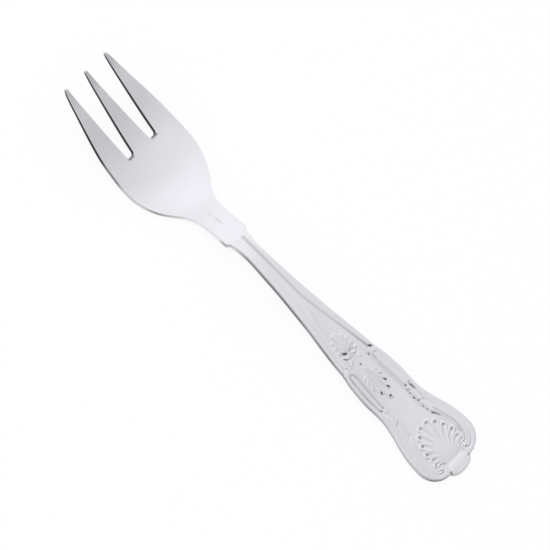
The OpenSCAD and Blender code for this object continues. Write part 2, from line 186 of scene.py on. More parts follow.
@dataclass(frozen=True)
class Blank:
    """The flat blank after it is cut out and bent: its outline, its two faces and its rim.

    Sizes are in millimetres, as in the CAD source. ear_past is a share of ear_run, and
    corner_share one of shoulder_length.
    """

    tine_length: float = 24.0
    tip_pitch: float = 7.8
    tip_width: float = 1.0
    root_pitch: float = 8.8
    slot_width: float = 2.45
    root_round: float = 0.8
    tip_thickness: float = 0.7
    tip_height: float = 11.6
    bowl_length: float = 25.1
    head_width: float = 25.6
    bowl_thickness: float = 1.4
    dish_depth: float = 1.0
    neck_length: float = 10.3
    neck_width: float = 8.1
    ear_width: float = 8.2
    ear_run: float = 0.9
    ear_past: float = 0.2
    neck_thickness: float = 2.7
    stem_length: float = 45.2
    stem_width: float = 5.2
    stem_thickness: float = 2.9
    stem_crown: float = 1.1
    arch_height: float = 2.5
    panel_length: float = 14.2
    nick_width: float = 12.8
    nick_reach: float = 0.8
    nick_depth: float = 0.1
    panel_width: float = 15.3
    waist_width: float = 15.0
    shoulder_length: float = 24.35
    shoulder_width: float = 21.6
    corner_share: float = 0.735
    lobe_length: float = 1.85
    lobe_width: float = 8.0
    handle_thickness: float = 1.6
    handle_crown: float = 0.15
    handle_dish: float = 0.6
    lobe_thickness: float = 1.5
    rest_flat: float = 0.1
    rim_power: float = 2.8
    bend_blur: float = 2.2

    @property
    def neck(self) -> float:
        """Place where the bowl ends."""
        return self.tine_length + self.bowl_length

    @property
    def step(self) -> float:
        """Place of the step behind the ears."""
        return self.neck + self.neck_length

    @property
    def nick(self) -> float:
        """Place of the nicks between the stem and the panel."""
        return self.step + self.stem_length

    @property
    def waist(self) -> float:
        """Place of the waist between the panel and the shoulders."""
        return self.nick + self.panel_length

    @property
    def corner(self) -> float:
        """Place where the shoulders are widest."""
        return self.waist + self.corner_share * self.shoulder_length

    @property
    def lobe(self) -> float:
        """Place of the notches between the shoulders and the end lobe."""
        return self.waist + self.shoulder_length

    @property
    def length(self) -> float:
        """Length of the whole fork."""
        return self.lobe + self.lobe_length

    def profiles(self) -> dict[str, Profile]:
        """The curves that the blank follows.

        Returns:
            Half widths of its sections, the back's height, the thickness, the dish, the crown and
            the radius of the rim at the face and at the back, by name.
        """
        neck, step, nick, waist = self.neck, self.step, self.nick, self.waist
        tine, bowl, stem, corner = self.tine_length, self.bowl_length, self.stem_length, self.corner
        span, wide = (2 * self.tip_pitch + self.tip_width) / 2, self.head_width / 2
        throat, ear, nicked = self.neck_width / 2, self.ear_width / 2, self.nick_width / 2
        narrow, broad = self.waist_width / 2, self.shoulder_width / 2
        low, high, arch = -self.rest_flat, self.tip_height, self.arch_height
        thin, thick, deep = self.bowl_thickness, self.handle_thickness, self.dish_depth
        shoulders = (*SHOULDER_WIDTHS, (self.corner_share, 1))
        exact = {
            "head": [
                *section(TINE_WIDTHS, 0, tine, span, wide),
                *section(BOWL_WIDTHS, tine, bowl, throat, wide),
                *section(NECK_WIDTHS, neck, self.neck_length, throat, ear),
                (step - self.ear_run, ear),
            ],
            "stem": section(STEM_WIDTHS, step, stem, self.stem_width / 2, nicked),
            "handle": [
                *section(PANEL_WIDTHS, nick, self.panel_length, nicked, self.panel_width / 2),
                *section(shoulders, waist, self.shoulder_length, narrow, broad),
            ],
            "rim": [
                (0, 0.12), (tine, 0.18), (neck - 6, 0.35), (neck, 0.45), (step, 0.5),
                (step + stem * 0.2, 0.55), (nick, 0.7), (corner, 0.8), (self.lobe, 0.6), (self.length, 0.6),
            ],
            "heel": [(0, 0.12), (tine, 0.18), (neck, 0.4), (self.length, 0.45)],
        }
        soft = {
            "back": [
                *section(TINE_BACKS, 0, tine, low, high),
                *section(BOWL_BACKS, tine, bowl, low, high),
                *section(NECK_BACKS, neck, self.neck_length, low, arch),
                (step + stem * 0.09, arch), (step + stem * 0.4, arch * 0.93),
                (step + stem * 0.75, arch * 0.78), (nick, arch * 0.5), (waist, arch * 0.12),
                (corner, arch * 0.03), (self.lobe, low), (self.length, low),
            ],
            "thickness": [
                (0, self.tip_thickness), (tine / 2, (self.tip_thickness + thin) * 0.57), (tine, thin),
                (tine + bowl * 0.7, thin * 1.05), (neck, (thin + self.neck_thickness) / 2),
                (step - self.ear_run, self.neck_thickness), (step + stem * 0.12, self.stem_thickness),
                (nick, thick * 1.08), (waist, thick), (corner, thick), (self.lobe, self.lobe_thickness),
                (self.length, self.lobe_thickness),
            ],
            "dish": [
                (0, 0), (tine * 0.3, deep * 0.22), (tine * 0.7, deep * 0.55), (tine, deep * 0.82),
                (tine + bowl * 0.4, deep), (tine + bowl * 0.7, deep * 0.85), (neck, deep * 0.25),
                (neck + self.neck_length * 0.4, 0), (nick - self.panel_length / 2, 0),
                (nick + self.panel_length / 4, self.handle_dish), (corner, self.handle_dish),
                (self.lobe, self.handle_dish / 4), (self.length, 0),
            ],
            "crown": [
                (0, 0), (tine + bowl * 0.7, 0), (neck, self.stem_crown * 0.5), (step, self.stem_crown),
                (step + stem * 0.3, self.stem_crown), (nick, self.handle_crown), (corner, self.handle_crown),
                (self.lobe, self.handle_crown / 3), (self.length, self.handle_crown / 3),
            ],
        }
        curves = {name: Profile(points) for name, points in exact.items()}
        return curves | {name: Profile(points, self.bend_blur) for name, points in soft.items()}


class Form:
    """The blank's outline and faces as functions of place and side."""

    def __init__(self, blank: Blank) -> None:
        """Keep the blank and its curves."""
        self.blank = blank
        self.curve = blank.profiles()

    def half_width(self, place: Array | float) -> Array:
        """Half width of the outline.

        Args:
            place: places along the fork.

        Returns:
            The half width at each, down to 0 at the very end.
        """
        b, place = self.blank, np.asarray(place, float)
        width = np.where(place < b.nick, self.curve["stem"](place), self.curve["handle"](place))
        ear, foot = self.curve["head"](place), self.curve["stem"](b.step + STEM_WIDTHS[0][0] * b.stem_length)
        slope = smooth_step((place - (b.step - b.ear_run)) / (b.ear_run * (1 + b.ear_past)))
        width = np.where(place < b.step + b.ear_past * b.ear_run, ear + slope * (foot - ear), width)
        notch = np.clip(1 - np.abs(place - b.nick) / b.nick_reach, 0, 1)
        width = width - b.nick_depth * smooth_step(notch)
        shoulder = arc((place - b.corner) / (b.lobe - b.corner))
        shoulder = (b.lobe_width + (b.shoulder_width - b.lobe_width) * shoulder) / 2
        width = np.where(place > b.corner, shoulder, width)
        width = np.where(place > b.lobe, b.lobe_width / 2 * arc((place - b.lobe) / b.lobe_length), width)
        half_tip = b.tip_width / 2
        tip = arc((half_tip - place) / half_tip)
        return np.where(place < half_tip, b.tip_pitch + half_tip * tip, width)

    def slot_edges(self, place: Array | float) -> tuple[Array, Array]:
        """The two flanks of the slot on the positive side.

        Args:
            place: places from the tips to the ends of the slots.

        Returns:
            The side of the flank nearer the middle, and of the flank further out.
        """
        b, place = self.blank, np.asarray(place, float)
        half_tip, start = b.tip_width / 2, b.tine_length - b.root_round
        share = np.clip((place - half_tip) / (start - half_tip), 0, 1)
        middle = (b.tip_pitch + share * (b.root_pitch - b.tip_pitch)) / 2
        mouth = b.tip_pitch - b.tip_width
        half = (mouth + share * (b.slot_width - mouth)) / 2
        corner = arc((place - start) / b.root_round)
        half = np.where(place > start, b.slot_width / 2 - b.root_round * (1 - corner), half)
        tip = arc((half_tip - place) / half_tip)
        half = np.where(place < half_tip, mouth / 2 + half_tip * (1 - tip), half)
        return middle - half, middle + half

    def faces(self, place: Array, side: Array, inside: Array) -> tuple[Array, Array, Array]:
        """Heights of the face, of the back and of the middle of the rim.

        Args:
            place: place of each point.
            side: its side.
            inside: its distance from the outline.

        Returns:
            The face's height, the back's and the middle's.
        """
        b, c, margin, least = self.blank, self.curve, 1.0, 0.5
        wide = np.maximum(self.half_width(np.clip(place, margin, b.lobe - margin)), least)
        share = np.clip(side / wide, -1, 1) ** 2
        back = c["back"](place)
        low = back + (c["dish"](place) + c["crown"](place)) * share
        high = back + c["thickness"](place) + c["dish"](place) * share
        middle = (low + high) / 2
        rise, fall = (
            (1 - (1 - np.clip(inside / c[name](place), 0, 1)) ** b.rim_power) ** (1 / b.rim_power)
            for name in ("rim", "heel")
        )
        return middle + (high - middle) * rise, np.maximum(middle - (middle - low) * fall, 0.0), middle

    def lean(self, place: Array) -> Array:
        """How steeply the blank falls towards the handle at some places."""
        step = 0.1
        low = self.curve["back"](place - step) + self.curve["thickness"](place - step) / 2
        high = self.curve["back"](place + step) + self.curve["thickness"](place + step) / 2
        return (high - low) / (2 * step)


# Relief


class Relief:
    """What is struck into the face: heights, and how dark the painted shade is in its recesses, on its slopes
    and on the stem and the handle, often darker on one side of the middle line than on the other.
    """

    # How many of its own half widths a groove or a pit reaches, and how many slopes long the field's start is
    REACH = 3
    FIELD_START = 4
    # Millimetres: the blend beside a planed slope, a leaf's vein, a flute's ridge and its reach
    PLANE_BLEND = 1.6
    VEIN_WIDTH = 0.16
    RIDGE_WIDTH = 0.17
    RIDGE_REACH = 0.4
    # Shares: a leaf's height at its foot and the length by which it is full, and how a flute widens
    LEAF_FOOT = 0.55
    LEAF_FULL = 0.75
    FLUTE_POWER = 0.8
    # How steep a pit's wall is, and how far its painted shade reaches in its radius
    PIT_POWER = 2.5
    PIT_SHADE_REACH = 1.05

    def __init__(self, place: Array, side: Array, form: Form) -> None:
        """Start with a plain face.

        Args:
            place: place of each point of the face.
            side: its side.
            form: the blank.
        """
        self.blank = form.blank
        self.place, self.signed = place, side
        self.height = np.zeros(len(place))
        self.raised = np.zeros(len(place))
        # Painted shade on the stem and the handle, rising from the step behind the ears
        self.painted_shade_and_marks = PAINTED_HANDLE_SHADE * smooth_step((place - form.blank.step) / (form.blank.stem_length / 3))
        self.centre(0.0)

    def centre(self, offset: float) -> None:
        """Set the side of the line that what is struck next is mirrored about."""
        self.side = np.abs(self.signed - offset)
        self.left = self.signed < offset

    def paint_shade(self, index: Array, shape: Array, dark: Dark) -> None:
        """Paint shade at some points, from 0 to 1 on both sides or on the left and on the right, where light
        falls differently on the two sides.
        """
        left, right = dark if isinstance(dark, tuple) else (dark, dark)
        self.painted_shade_and_marks[index] = np.maximum(self.painted_shade_and_marks[index], np.where(self.left[index], left, right) * shape)

    def near(self, path: Array, reach: float) -> Array:
        """Indices of the points within reach of a path's box."""
        low, high = path.min(0) - reach, path.max(0) + reach
        return np.flatnonzero(
            (self.place > low[0]) & (self.place < high[0]) & (self.side > low[1]) & (self.side < high[1])
        )

    def follow(self, points: Pairs, reach: float) -> tuple[Array, Array, Array]:
        """Points near a smooth path, their distance from it and the share of its length there."""
        path = sweep(points)
        index = self.near(path, reach)
        return (index, *self.measure(path, index))

    def measure(self, path: Array, points: Array) -> tuple[Array, Array]:
        """Distance of points from a path.

        Args:
            path: the path's points.
            points: indices of the points to measure.

        Returns:
            The distance of each point and the share of the path's length where it is nearest.
        """
        here = np.stack([self.place[points], self.side[points]], 1)
        best, share = np.full(len(points), FAR), np.zeros(len(points))
        steps = np.diff(path, axis=0)
        lengths = np.hypot(*steps.T)
        total, done = lengths.sum(), 0.0
        for start, step, length in zip(path, steps, lengths):
            t = np.clip(((here - start) @ step) / max(length**2, 1e-9), 0, 1)
            gap = np.hypot(*(here - start - t[:, None] * step).T)
            closer = gap < best
            best = np.where(closer, gap, best)
            share = np.where(closer, (done + t * length) / total, share)
            done += length
        return best, share

    def groove(
        self, points: Pairs, width: float, depth: float, dark: Dark = 0.0,
        ends: tuple[float, float] = (1.0, 1.0),
    ) -> None:
        """Cut a round groove along a smooth path.

        Args:
            points: (place, side) pairs on the path.
            width: its half width.
            depth: its greatest depth.
            dark: how dark the painted shade in it is.
            ends: share of the depth at its first and at its last point.
        """
        index, gap, share = self.follow(points, self.REACH * width)
        along = ends[0] + (ends[1] - ends[0]) * share
        shape = np.exp(-((gap / width) ** 2)) * along
        self.height[index] -= depth * shape
        self.paint_shade(index, shape, dark)

    def bead(self, points: Pairs, width: float, height: float) -> None:
        """Raise a round bead of some half width and height along a smooth path."""
        index, gap, _ = self.follow(points, width)
        self.height[index] += height * arc(gap / width)

    def leaf(
        self, points: Pairs, width: float, height: float, start: float = 0.25, vein: float = 0.0
    ) -> None:
        """Leave a round-backed leaf standing in the field.

        Args:
            points: (place, side) pairs from its foot to its tip.
            width: its half width near the tip.
            height: how far its back stands above the field.
            start: share of that width at the foot.
            vein: depth of the groove along its middle.
        """
        index, gap, share = self.follow(points, width)
        half = width * (start + (1 - start) * smooth_step(share / self.LEAF_FULL))
        back = arc(gap / half)
        crease = vein * np.exp(-((gap / self.VEIN_WIDTH) ** 2)) * (back > 0)
        shape = height * back * (self.LEAF_FOOT + (1 - self.LEAF_FOOT) * share) - crease
        self.raised[index] = np.maximum(self.raised[index], shape)

    def flute(self, points: Pairs, width: float, depth: float, ridge: float, start: float) -> None:
        """Gouge a flute that is deepest at its round end, inside a narrow ridge.

        Args:
            points: (place, side) pairs from its foot to its end.
            width: its half width at the end.
            depth: its depth there.
            ridge: height of the ridge round it.
            start: share of the width at the foot.
        """
        index, gap, share = self.follow(points, width + self.RIDGE_REACH)
        half = width * (start + (1 - start) * share**self.FLUTE_POWER)
        hollow = np.clip(1 - (gap / half) ** 2, 0, 1)
        self.height[index] -= depth * hollow * share
        self.height[index] += ridge * np.exp(-(((gap - half) / self.RIDGE_WIDTH) ** 2)) * share

    def pit(
        self, place: float, side: float, radius: float, depth: float, dark: Dark = 1.0,
        stretch: float = 1.0, turn: float = 0.0,
    ) -> None:
        """Punch a round or an oval pit.

        Args:
            place: place of its middle.
            side: side of its middle.
            radius: its radius.
            depth: its depth.
            dark: how dark the painted shade in it is.
            stretch: length over width.
            turn: angle of its length from the fork's, in degrees.
        """
        index = self.near(np.array([[place, side]]), self.REACH * radius * stretch)
        dx, dy = self.place[index] - place, self.side[index] - side
        c, s = math.cos(math.radians(turn)), math.sin(math.radians(turn))
        gap = np.hypot((dx * c + dy * s) / stretch, dy * c - dx * s) / radius
        self.height[index] -= depth * np.exp(-(gap**self.PIT_POWER))
        self.paint_shade(index, np.exp(-((gap / self.PIT_SHADE_REACH) ** 4)), dark)

    def sink(self, edge: Profile, start: float, end: float, depth: float, slope: float) -> None:
        """Sink the field between a curve and its mirror image, apart from what stands up in it.

        Args:
            edge: half width of the field along the handle.
            start: place where it starts.
            end: place where it ends.
            depth: how deep it is sunk.
            slope: width of the slope at its edge.
        """
        across = smooth_step((edge(self.place) - self.side) / slope + 0.5)
        start_slope = self.FIELD_START * slope
        along = smooth_step((self.place - start) / start_slope) * smooth_step((end - self.place) / slope)
        floor = depth * across * along
        self.height -= np.maximum(floor - self.raised, 0.0)
        over = np.clip(self.raised - depth, 0.0, None)
        self.height += over * across

    def plane(self, start: float, end: float, climb: float, half: float, depth: float) -> None:
        """Plane a slope that falls ever more steeply to an edge across the fork, and climbs back behind it.

        Args:
            start: place where it starts to fall.
            end: place of the edge.
            climb: length of the climb behind the edge.
            half: half its width across the fork.
            depth: its depth at the edge.
        """
        fall = np.clip((self.place - start) / (end - start), 0, 1) ** 2
        back = 1 - smooth_step((self.place - end) / climb)
        blend = self.PLANE_BLEND
        self.height -= depth * fall * back * smooth_step((half + blend / 2 - self.side) / blend)


@dataclass(frozen=True)
class Husk:
    """The husk of small leaves that points up the stem."""

    foot: float = 101.6
    height: float = 0.17
    # How dark the painted shade round the husk is
    painted_shade: float = 0.14
    offset: float = 0.4

    def strike(self, relief: Relief) -> None:
        """Raise the leaves, cut the marks between them and paint shade round and between them."""
        relief.centre(self.offset)
        f, h = self.foot, self.height
        # A broad patch of painted shade round the husk, with no depth
        relief.pit(f - 0.4, 0.0, 2.0, 0.0, self.painted_shade, 1.8)
        leaves = ((95.4, 0.45, 0.62), (96.6, 1.75, 0.6), (98.0, 2.35, 0.58), (99.6, 2.45, 0.55))
        for tip, side, width in leaves:
            relief.leaf([(f, 0.2), ((f + tip) / 2 + 0.3, side * 0.45), (tip, side)], width, h, 0.3, 0.05)
        relief.leaf([(f, 0.3), (102.2, 1.5), (101.2, 2.5)], 0.45, h, 0.5)
        relief.leaf([(f + 0.4, 0.3), (103.0, 1.0), (104.0, 1.8)], 0.42, h * 0.4, 0.4)
        relief.pit(100.8, 1.25, 0.31, 0.15, (0.1, 1.0), 2.9, -52)
        relief.pit(102.1, 2.2, 0.26, 0.1, (0.1, 0.55), 1.7, -20)
        relief.groove([(101.4, 1.9), (100.9, 0.9), (101.0, 0.2)], 0.2, 0.04, (0.55, 0.0))
        relief.groove([(102.9, 0.3), (102.8, 1.2), (102.3, 2.1)], 0.16, 0.05, (0.12, 0.35))
        relief.groove([(98.0, 1.8), (99.4, 1.75)], 0.2, 0.0, (0.0, 0.2))
        for tip, side in ((97.3, 1.7), (98.6, 1.9), (99.9, 2.0)):
            relief.groove([(tip + 0.9, side - 0.8), (tip, side)], 0.12, 0.06, (0.22, 0.1))


@dataclass(frozen=True)
class Palmette:
    """The palmette in the panel, which points to the shell."""

    foot: float = 106.8
    height: float = 0.15
    pit: float = 0.37
    # How dark the painted shade round the palmette is
    painted_shade: float = 0.15
    offset: float = 0.27

    def strike(self, relief: Relief) -> None:
        """Raise the petals, punch a pit in each tip, and paint shade round them and in the pits."""
        relief.centre(self.offset)
        f, h = self.foot, self.height
        # A broad patch of painted shade round the palmette, with no depth
        relief.pit(f + 4.6, 0.0, 2.5, 0.0, self.painted_shade, 1.9)
        petals = (
            (117.15, 0.0, 0.8, (1.0, 1.0), 1.0), (115.0, 1.4, 0.68, (1.0, 1.0), 1.5),
            (113.0, 2.15, 0.62, (0.95, 0.3), 2.3), (111.1, 2.35, 0.5, (0.4, 0.25), 2.3),
            (109.7, 2.3, 0.42, (0.0, 0.25), 1.3),
        )
        for tip, side, width, dark, stretch in petals:
            start = (f + (117.15 - tip) * 0.25, side * 0.3)
            relief.leaf([start, ((f + tip) / 2 + 0.5, side * 0.55), (tip, side)], width, h * width / 0.7, 0.2)
            relief.pit(tip, side, self.pit * (0.6 + 0.4 * max(dark)) / stretch**0.4, 0.14, dark, stretch, 30)
        relief.groove([(112.0, 0.5), (114.0, 0.85), (115.0, 1.2)], 0.13, 0.05, (0.2, 0.15))
        relief.groove([(110.0, 0.75), (111.5, 1.2), (112.6, 1.9)], 0.13, 0.05, (0.2, 0.1))
        relief.groove([(112.4, 0.0), (116.6, 0.0)], 0.14, 0.04, 0.12, (0.3, 1.0))
        relief.pit(105.8, 0.0, 0.3, 0.14, 0.7)


@dataclass(frozen=True)
class Shell:
    """The scallop shell: flutes that fan out from a smooth foot, and the hinge behind it."""

    depth: float = 0.17
    ridge: float = 0.06
    rise: float = 0.16
    hinge: float = 140.6
    hinge_depth: float = 0.17
    hinge_half: float = 3.4
    line: float = 0.22
    offset: float = -0.12

    def strike(self, relief: Relief) -> None:
        """Gouge the flutes, paint shade along them and in their pits, and close the foot with the hinge."""
        relief.centre(self.offset)
        flutes = (
            ([(136.4, 0.38), (132.9, 0.75), (129.25, 1.2)], 0.86, (0.32, 0.36), (0.0, 0.0)),
            ([(136.8, 1.0), (133.6, 1.9), (130.7, 3.2)], 0.84, (0.45, 0.75), (0.0, 0.0)),
            ([(137.2, 1.55), (134.6, 2.85), (132.8, 4.4)], 0.8, (0.4, 0.75), (0.0, 0.25)),
            ([(138.2, 2.05), (136.0, 3.6), (135.1, 5.3)], 0.74, (0.6, 0.8), (0.06, 0.6)),
            ([(138.9, 2.5), (137.6, 3.8), (137.2, 5.1)], 0.62, (0.45, 0.45), (0.14, 0.55)),
            ([(139.6, 3.1), (138.9, 4.2), (138.65, 5.5)], 0.52, (0.3, 0.6), (0.1, 0.1)),
        )
        for path, width, dark, shade_line in flutes:
            relief.leaf(path, width + 0.34, self.rise, 0.6)
            relief.flute(path, width, self.depth, self.ridge, 0.42)
            # A line of painted shade along each flute, with no depth
            relief.groove([path[1], path[2]], self.line, 0.0, shade_line, (0.4, 1.0))
            relief.pit(*path[-1], 0.28, 0.12, dark)
        relief.leaf([(135.5, 0.0), (140.2, 0.0)], 3.2, self.rise * 0.8, 0.55)
        relief.groove([(129.9, 2.0), (131.5, 1.5), (133.6, 0.95), (135.2, 0.6)], self.line, 0.02, (0.12, 0.0))
        relief.groove([(139.6, 5.2), (139.4, 4.3), (139.9, 3.4)], self.line, 0.05, (0.1, 0.45))
        relief.plane(137.4, self.hinge, 2.3, self.hinge_half, self.hinge_depth)


@dataclass(frozen=True)
class Field:
    """The plain field that is sunk between the threads, round the husk, the palmette and the shell."""

    depth: float = 0.2
    slope: float = 2.1
    start: float = 82.0
    end: float = 142.6

    def strike(self, relief: Relief) -> None:
        """Sink the field."""
        relief.centre(0.0)
        edge = Profile([
            (84.0, 0.0), (87.0, 0.8), (92.4, 2.1), (99.0, 2.85), (105.5, 3.4), (112.0, 3.9), (116.0, 4.2),
            (122.0, 4.0), (127.0, 4.4), (131.0, 5.9), (134.0, 6.6), (136.8, 6.6), (138.8, 5.4), (140.2, 3.9),
            (142.6, 3.2),
        ])
        relief.sink(edge, self.start, self.end, self.depth, self.slope)


@dataclass(frozen=True)
class StemThreads:
    """The threads that run along both edges of the stem."""

    groove_half: float = 0.58
    groove_depth: float = 0.12
    start: float = 60.4
    end: float = 103.3

    def strike(self, relief: Relief) -> None:
        """Cut the grooves beside the threads, which end in a hook at the nick, and paint shade in and beside
        them.
        """
        relief.centre(0.0)
        outer = [
            (self.start, 0.95), (63, 0.97), (79, 0.99), (83.5, 1.3), (91.1, 2.62), (96.8, 3.65),
            (self.end, 4.7),
        ]
        relief.groove(outer, self.groove_half, self.groove_depth, (0.36, 0.0), (0.9, 0.7))
        # A line of painted shade beside the outer groove, with no depth
        relief.groove(outer[3:], 0.3, 0.0, (0.6, 0.04), (0.1, 1.0))
        relief.pit(104.0, 5.25, 0.31, 0.15, (1.0, 0.05), 2.3, 50)
        relief.pit(103.9, 4.35, 0.3, 0.1, (0.25, 0.5))
        relief.pit(105.4, 3.35, 0.3, 0.12, (0.65, 0.05))
        inner = [(89.0, 1.9), (92.4, 2.5), (99.0, 3.2), (104.0, 3.6)]
        relief.groove(inner, 0.25, 0.02, (0.1, 0.0), (0.0, 1.0))


@dataclass(frozen=True)
class Panel:
    """The panel's bead, a long loop on each side, and the leafy border behind it."""

    line: float = 0.27
    depth: float = 0.006
    offset: float = -0.15
    loop_shift: float = 0.2

    def strike(self, relief: Relief) -> None:
        """Cut the loops, the leaves and their pits, and paint shade in and beside them, darker on one side
        than on the other.
        """
        relief.centre(self.offset + self.loop_shift)
        loop = [
            (118.0, 4.6), (112.0, 4.2), (108.0, 3.93), (106.4, 4.1), (105.9, 4.85), (106.4, 5.5),
            (108.0, 5.83), (113.0, 6.1), (118.05, 5.9),
        ]
        relief.groove(loop, self.line, self.depth, (0.03, 0.4))
        relief.groove([(107.6, 3.95), (106.3, 4.15), (105.9, 4.85), (106.2, 5.4)], 0.26, 0.05, (0.32, 0.5))
        # Lines of painted shade with no depth, on one side only
        relief.groove([(106.2, 5.4), (107.4, 5.75), (108.6, 5.85)], 0.22, 0.0, (0.0, 0.6))
        relief.groove([(111.5, 6.05), (113.6, 6.15), (115.6, 6.12)], 0.22, 0.0, (0.0, 0.6))
        relief.centre(self.offset)
        relief.pit(118.15, 4.6, 0.29, 0.14, (0.9, 0.5))
        relief.pit(118.3, 5.85, 0.28, 0.12, (0.1, 0.7), 1.7, -30)
        relief.groove([(118.7, 5.75), (119.6, 5.8), (120.4, 5.8)], 0.27, 0.1, (1.0, 0.0), (1.0, 0.6))
        relief.groove([(115.4, 5.75), (118.0, 5.8), (123.0, 5.9)], 0.24, 0.02, (0.3, 0.0), (0.3, 1.0))
        border = (
            (119.6, 3.95, 0.45), (120.5, 3.9, 0.45), (122.1, 3.85, 0.85), (123.4, 4.1, 0.6),
            (125.4, 4.0, 0.55), (126.8, 4.2, 0.4),
        )
        for place, side, dark in border:
            relief.pit(place, side, 0.29, 0.05, (dark, 0.03), 1.3, 20)
        relief.groove([(119.5, 4.1), (119.9, 4.8), (119.6, 5.5)], 0.22, 0.05, (0.3, 0.4), (1.0, 0.6))
        relief.groove([(123.4, 4.2), (123.6, 4.9), (123.9, 5.6)], 0.22, 0.05, (0.5, 0.5), (1.0, 0.7))
        relief.groove([(124.0, 5.6), (125.6, 6.2), (127.2, 6.6)], 0.24, 0.05, (0.0, 0.15), (1.0, 0.3))


@dataclass(frozen=True)
class Shoulders:
    """The broad moulding round the shell, which curls into a scroll on each side of its foot."""

    line: float = 0.21
    depth: float = 0.09

    def strike(self, relief: Relief) -> None:
        """Cut the moulding's lines and its scrolls, and paint shade in and beside them."""
        relief.centre(0.0)
        inner = [
            (127.6, 5.8), (129.6, 6.45), (132.2, 7.15), (134.8, 7.55), (136.7, 7.4), (138.2, 6.85),
            (139.3, 6.1), (139.6, 5.4), (139.2, 4.75), (139.6, 4.0),
        ]
        relief.groove(inner, self.line, self.depth, (0.3, 0.06), (0.8, 1.0))
        # A patch of painted shade with no depth
        relief.pit(136.4, 6.95, 0.62, 0.0, (0.27, 0.0), 1.9, -8)
        second = [(128.2, 4.75), (130.2, 5.95), (132.0, 6.4), (134.0, 6.75), (135.8, 6.85)]
        relief.groove(second, 0.24, self.depth * 0.6, (0.06, 0.04), (1.0, 0.3))
        relief.groove([(128.3, 4.75), (129.1, 5.25), (130.3, 5.75)], 0.24, 0.1, (1.0, 0.0), (1.0, 0.45))
        curl = [
            (137.6, 8.75), (139.3, 8.1), (140.7, 6.95), (141.35, 5.8), (141.3, 4.9), (140.8, 4.4),
            (140.3, 4.35),
        ]
        relief.groove(curl, 0.22, 0.12, (0.3, 0.25), (0.3, 1.0))
        inside = [(138.4, 7.9), (139.6, 7.15), (140.4, 6.2), (140.6, 5.4)]
        relief.groove(inside, 0.17, 0.08, (0.1, 0.15), (0.2, 1.0))
        # A spot of painted shade with no depth
        relief.pit(141.3, 5.9, 0.3, 0.0, (0.0, 0.3))
        relief.bead([(140.45, 4.9), (140.35, 5.0)], 0.5, 0.12)
        relief.pit(142.9, 3.7, 0.38, 0.06, (0.5, 0.65))


@dataclass(frozen=True)
class Scuffs:
    """Two light knocks on the neck, where the fork is gripped."""

    dark: float = 0.16

    def strike(self, relief: Relief) -> None:
        """Leave the marks, which are too shallow to show in the shape."""
        relief.centre(0.0)
        relief.pit(49.8, 0.35, 0.34, 0.0, (0.0, self.dark))
        relief.groove([(51.5, 0.2), (53.6, 0.1)], 0.22, 0.0, (self.dark * 0.6, self.dark * 1.4))


@dataclass(frozen=True)
class SlotRootShade:
    """Painted shade at the roots of the slots."""

    behind: float = 0.13
    width: float = 0.3
    dark: float = 0.95

    def strike(self, relief: Relief) -> None:
        """Paint the shade, which has no depth."""
        relief.centre(0.0)
        blank = relief.blank
        place = blank.tine_length + self.behind
        middle, half = blank.root_pitch / 2, blank.slot_width / 2
        path = [(place, middle - 0.5 * half), (place, middle + 0.8 * half)]
        relief.groove(path, self.width, 0.0, self.dark, (0.8, 1.0))


# The mesh


@dataclass
class Plan:
    """A grid of points in plan, row by row along the fork, with the points that lie on the outline."""

    place: Array
    side: Array
    used: Array
    edge: Array
    back_columns: Array
    back_rows: Array


@dataclass(frozen=True)
class Weave:
    """How close the rows and columns of the mesh lie, and where its grids and its relief end."""

    # Columns and rows, and every how many of them the back keeps
    rim_columns: int = 5
    tine_columns: int = 26
    slot_columns: int = 3
    stem_columns: int = 50
    handle_columns: int = 138
    corner_rows: int = 9
    root_rows: int = 7
    end_rows: int = 34
    head_thin: int = 4
    stem_thin: int = 3
    handle_thin: int = 6
    handle_skip: int = 2
    # Millimetres between rows, closer where the outline turns
    fine_places: int = 6000
    tine_step: float = 0.5
    bowl_step: float = 0.38
    stem_step: float = 0.5
    handle_step: float = 0.165
    outline_step: float = 0.2
    turn_share: float = 0.8
    # The rim's columns: their reach in its radius and in the half width, and how they crowd outwards
    rim_reach: float = 1.05
    rim_room: float = 0.45
    rim_crowd: float = 1.15
    # Millimetres: the ends of the three grids, and the stretch where the tines' columns spread out
    head_past: float = 0.6
    grid_gap: float = 0.3
    relief_lead: float = 13.0
    blend_length: float = 12.0
    # Millimetres: how near the edge, the slots and the lobe the distance from the outline is measured
    rim_zone: float = 1.4
    root_zone: float = 1.0
    lobe_zone: float = 2.0
    # Millimetres: how far before the lobe the back keeps every row
    end_zone: float = 0.4
    # Millimetres: the longest link of a chain along the outline, and the spacing of the dots along it
    link_length: float = 2.0
    dot_step: float = 0.04
    # Millimetres: the edge that the relief leaves plain, and how it and the painted shade fade in behind it
    plain_edge: float = 0.12
    relief_fade: float = 0.45
    shade_fade: float = 0.16

    def rim_offsets(self, radius: Array, room: Array) -> Array:
        """Distances of the rim's columns from the edge.

        Args:
            radius: the rim's radius in each row.
            room: half the width in each row.

        Returns:
            One row of offsets for each row, from 0 to the radius, or less in a narrow row.
        """
        angle = np.linspace(0, math.pi / 2, self.rim_columns + 1)
        reach = np.minimum(radius * self.rim_reach, room * self.rim_room)
        return reach[:, None] * (1 - np.cos(angle)) ** self.rim_crowd

    def spread(self, form: Form, start: float, end: float, step: float) -> Array:
        """Places of rows, closer where the outline turns across the fork.

        Args:
            form: the blank.
            start: first place.
            end: last place.
            step: distance between rows along a straight outline.

        Returns:
            The places, both ends included.
        """
        fine = np.linspace(start, end, self.fine_places)
        turn = np.abs(np.diff(form.half_width(fine))) / self.outline_step * step
        run = np.concatenate([[0], np.cumsum(np.hypot(np.diff(fine), turn * self.turn_share))])
        count = max(2, round(run[-1] / step) + 1)
        return np.interp(np.linspace(0, run[-1], count), run, fine)


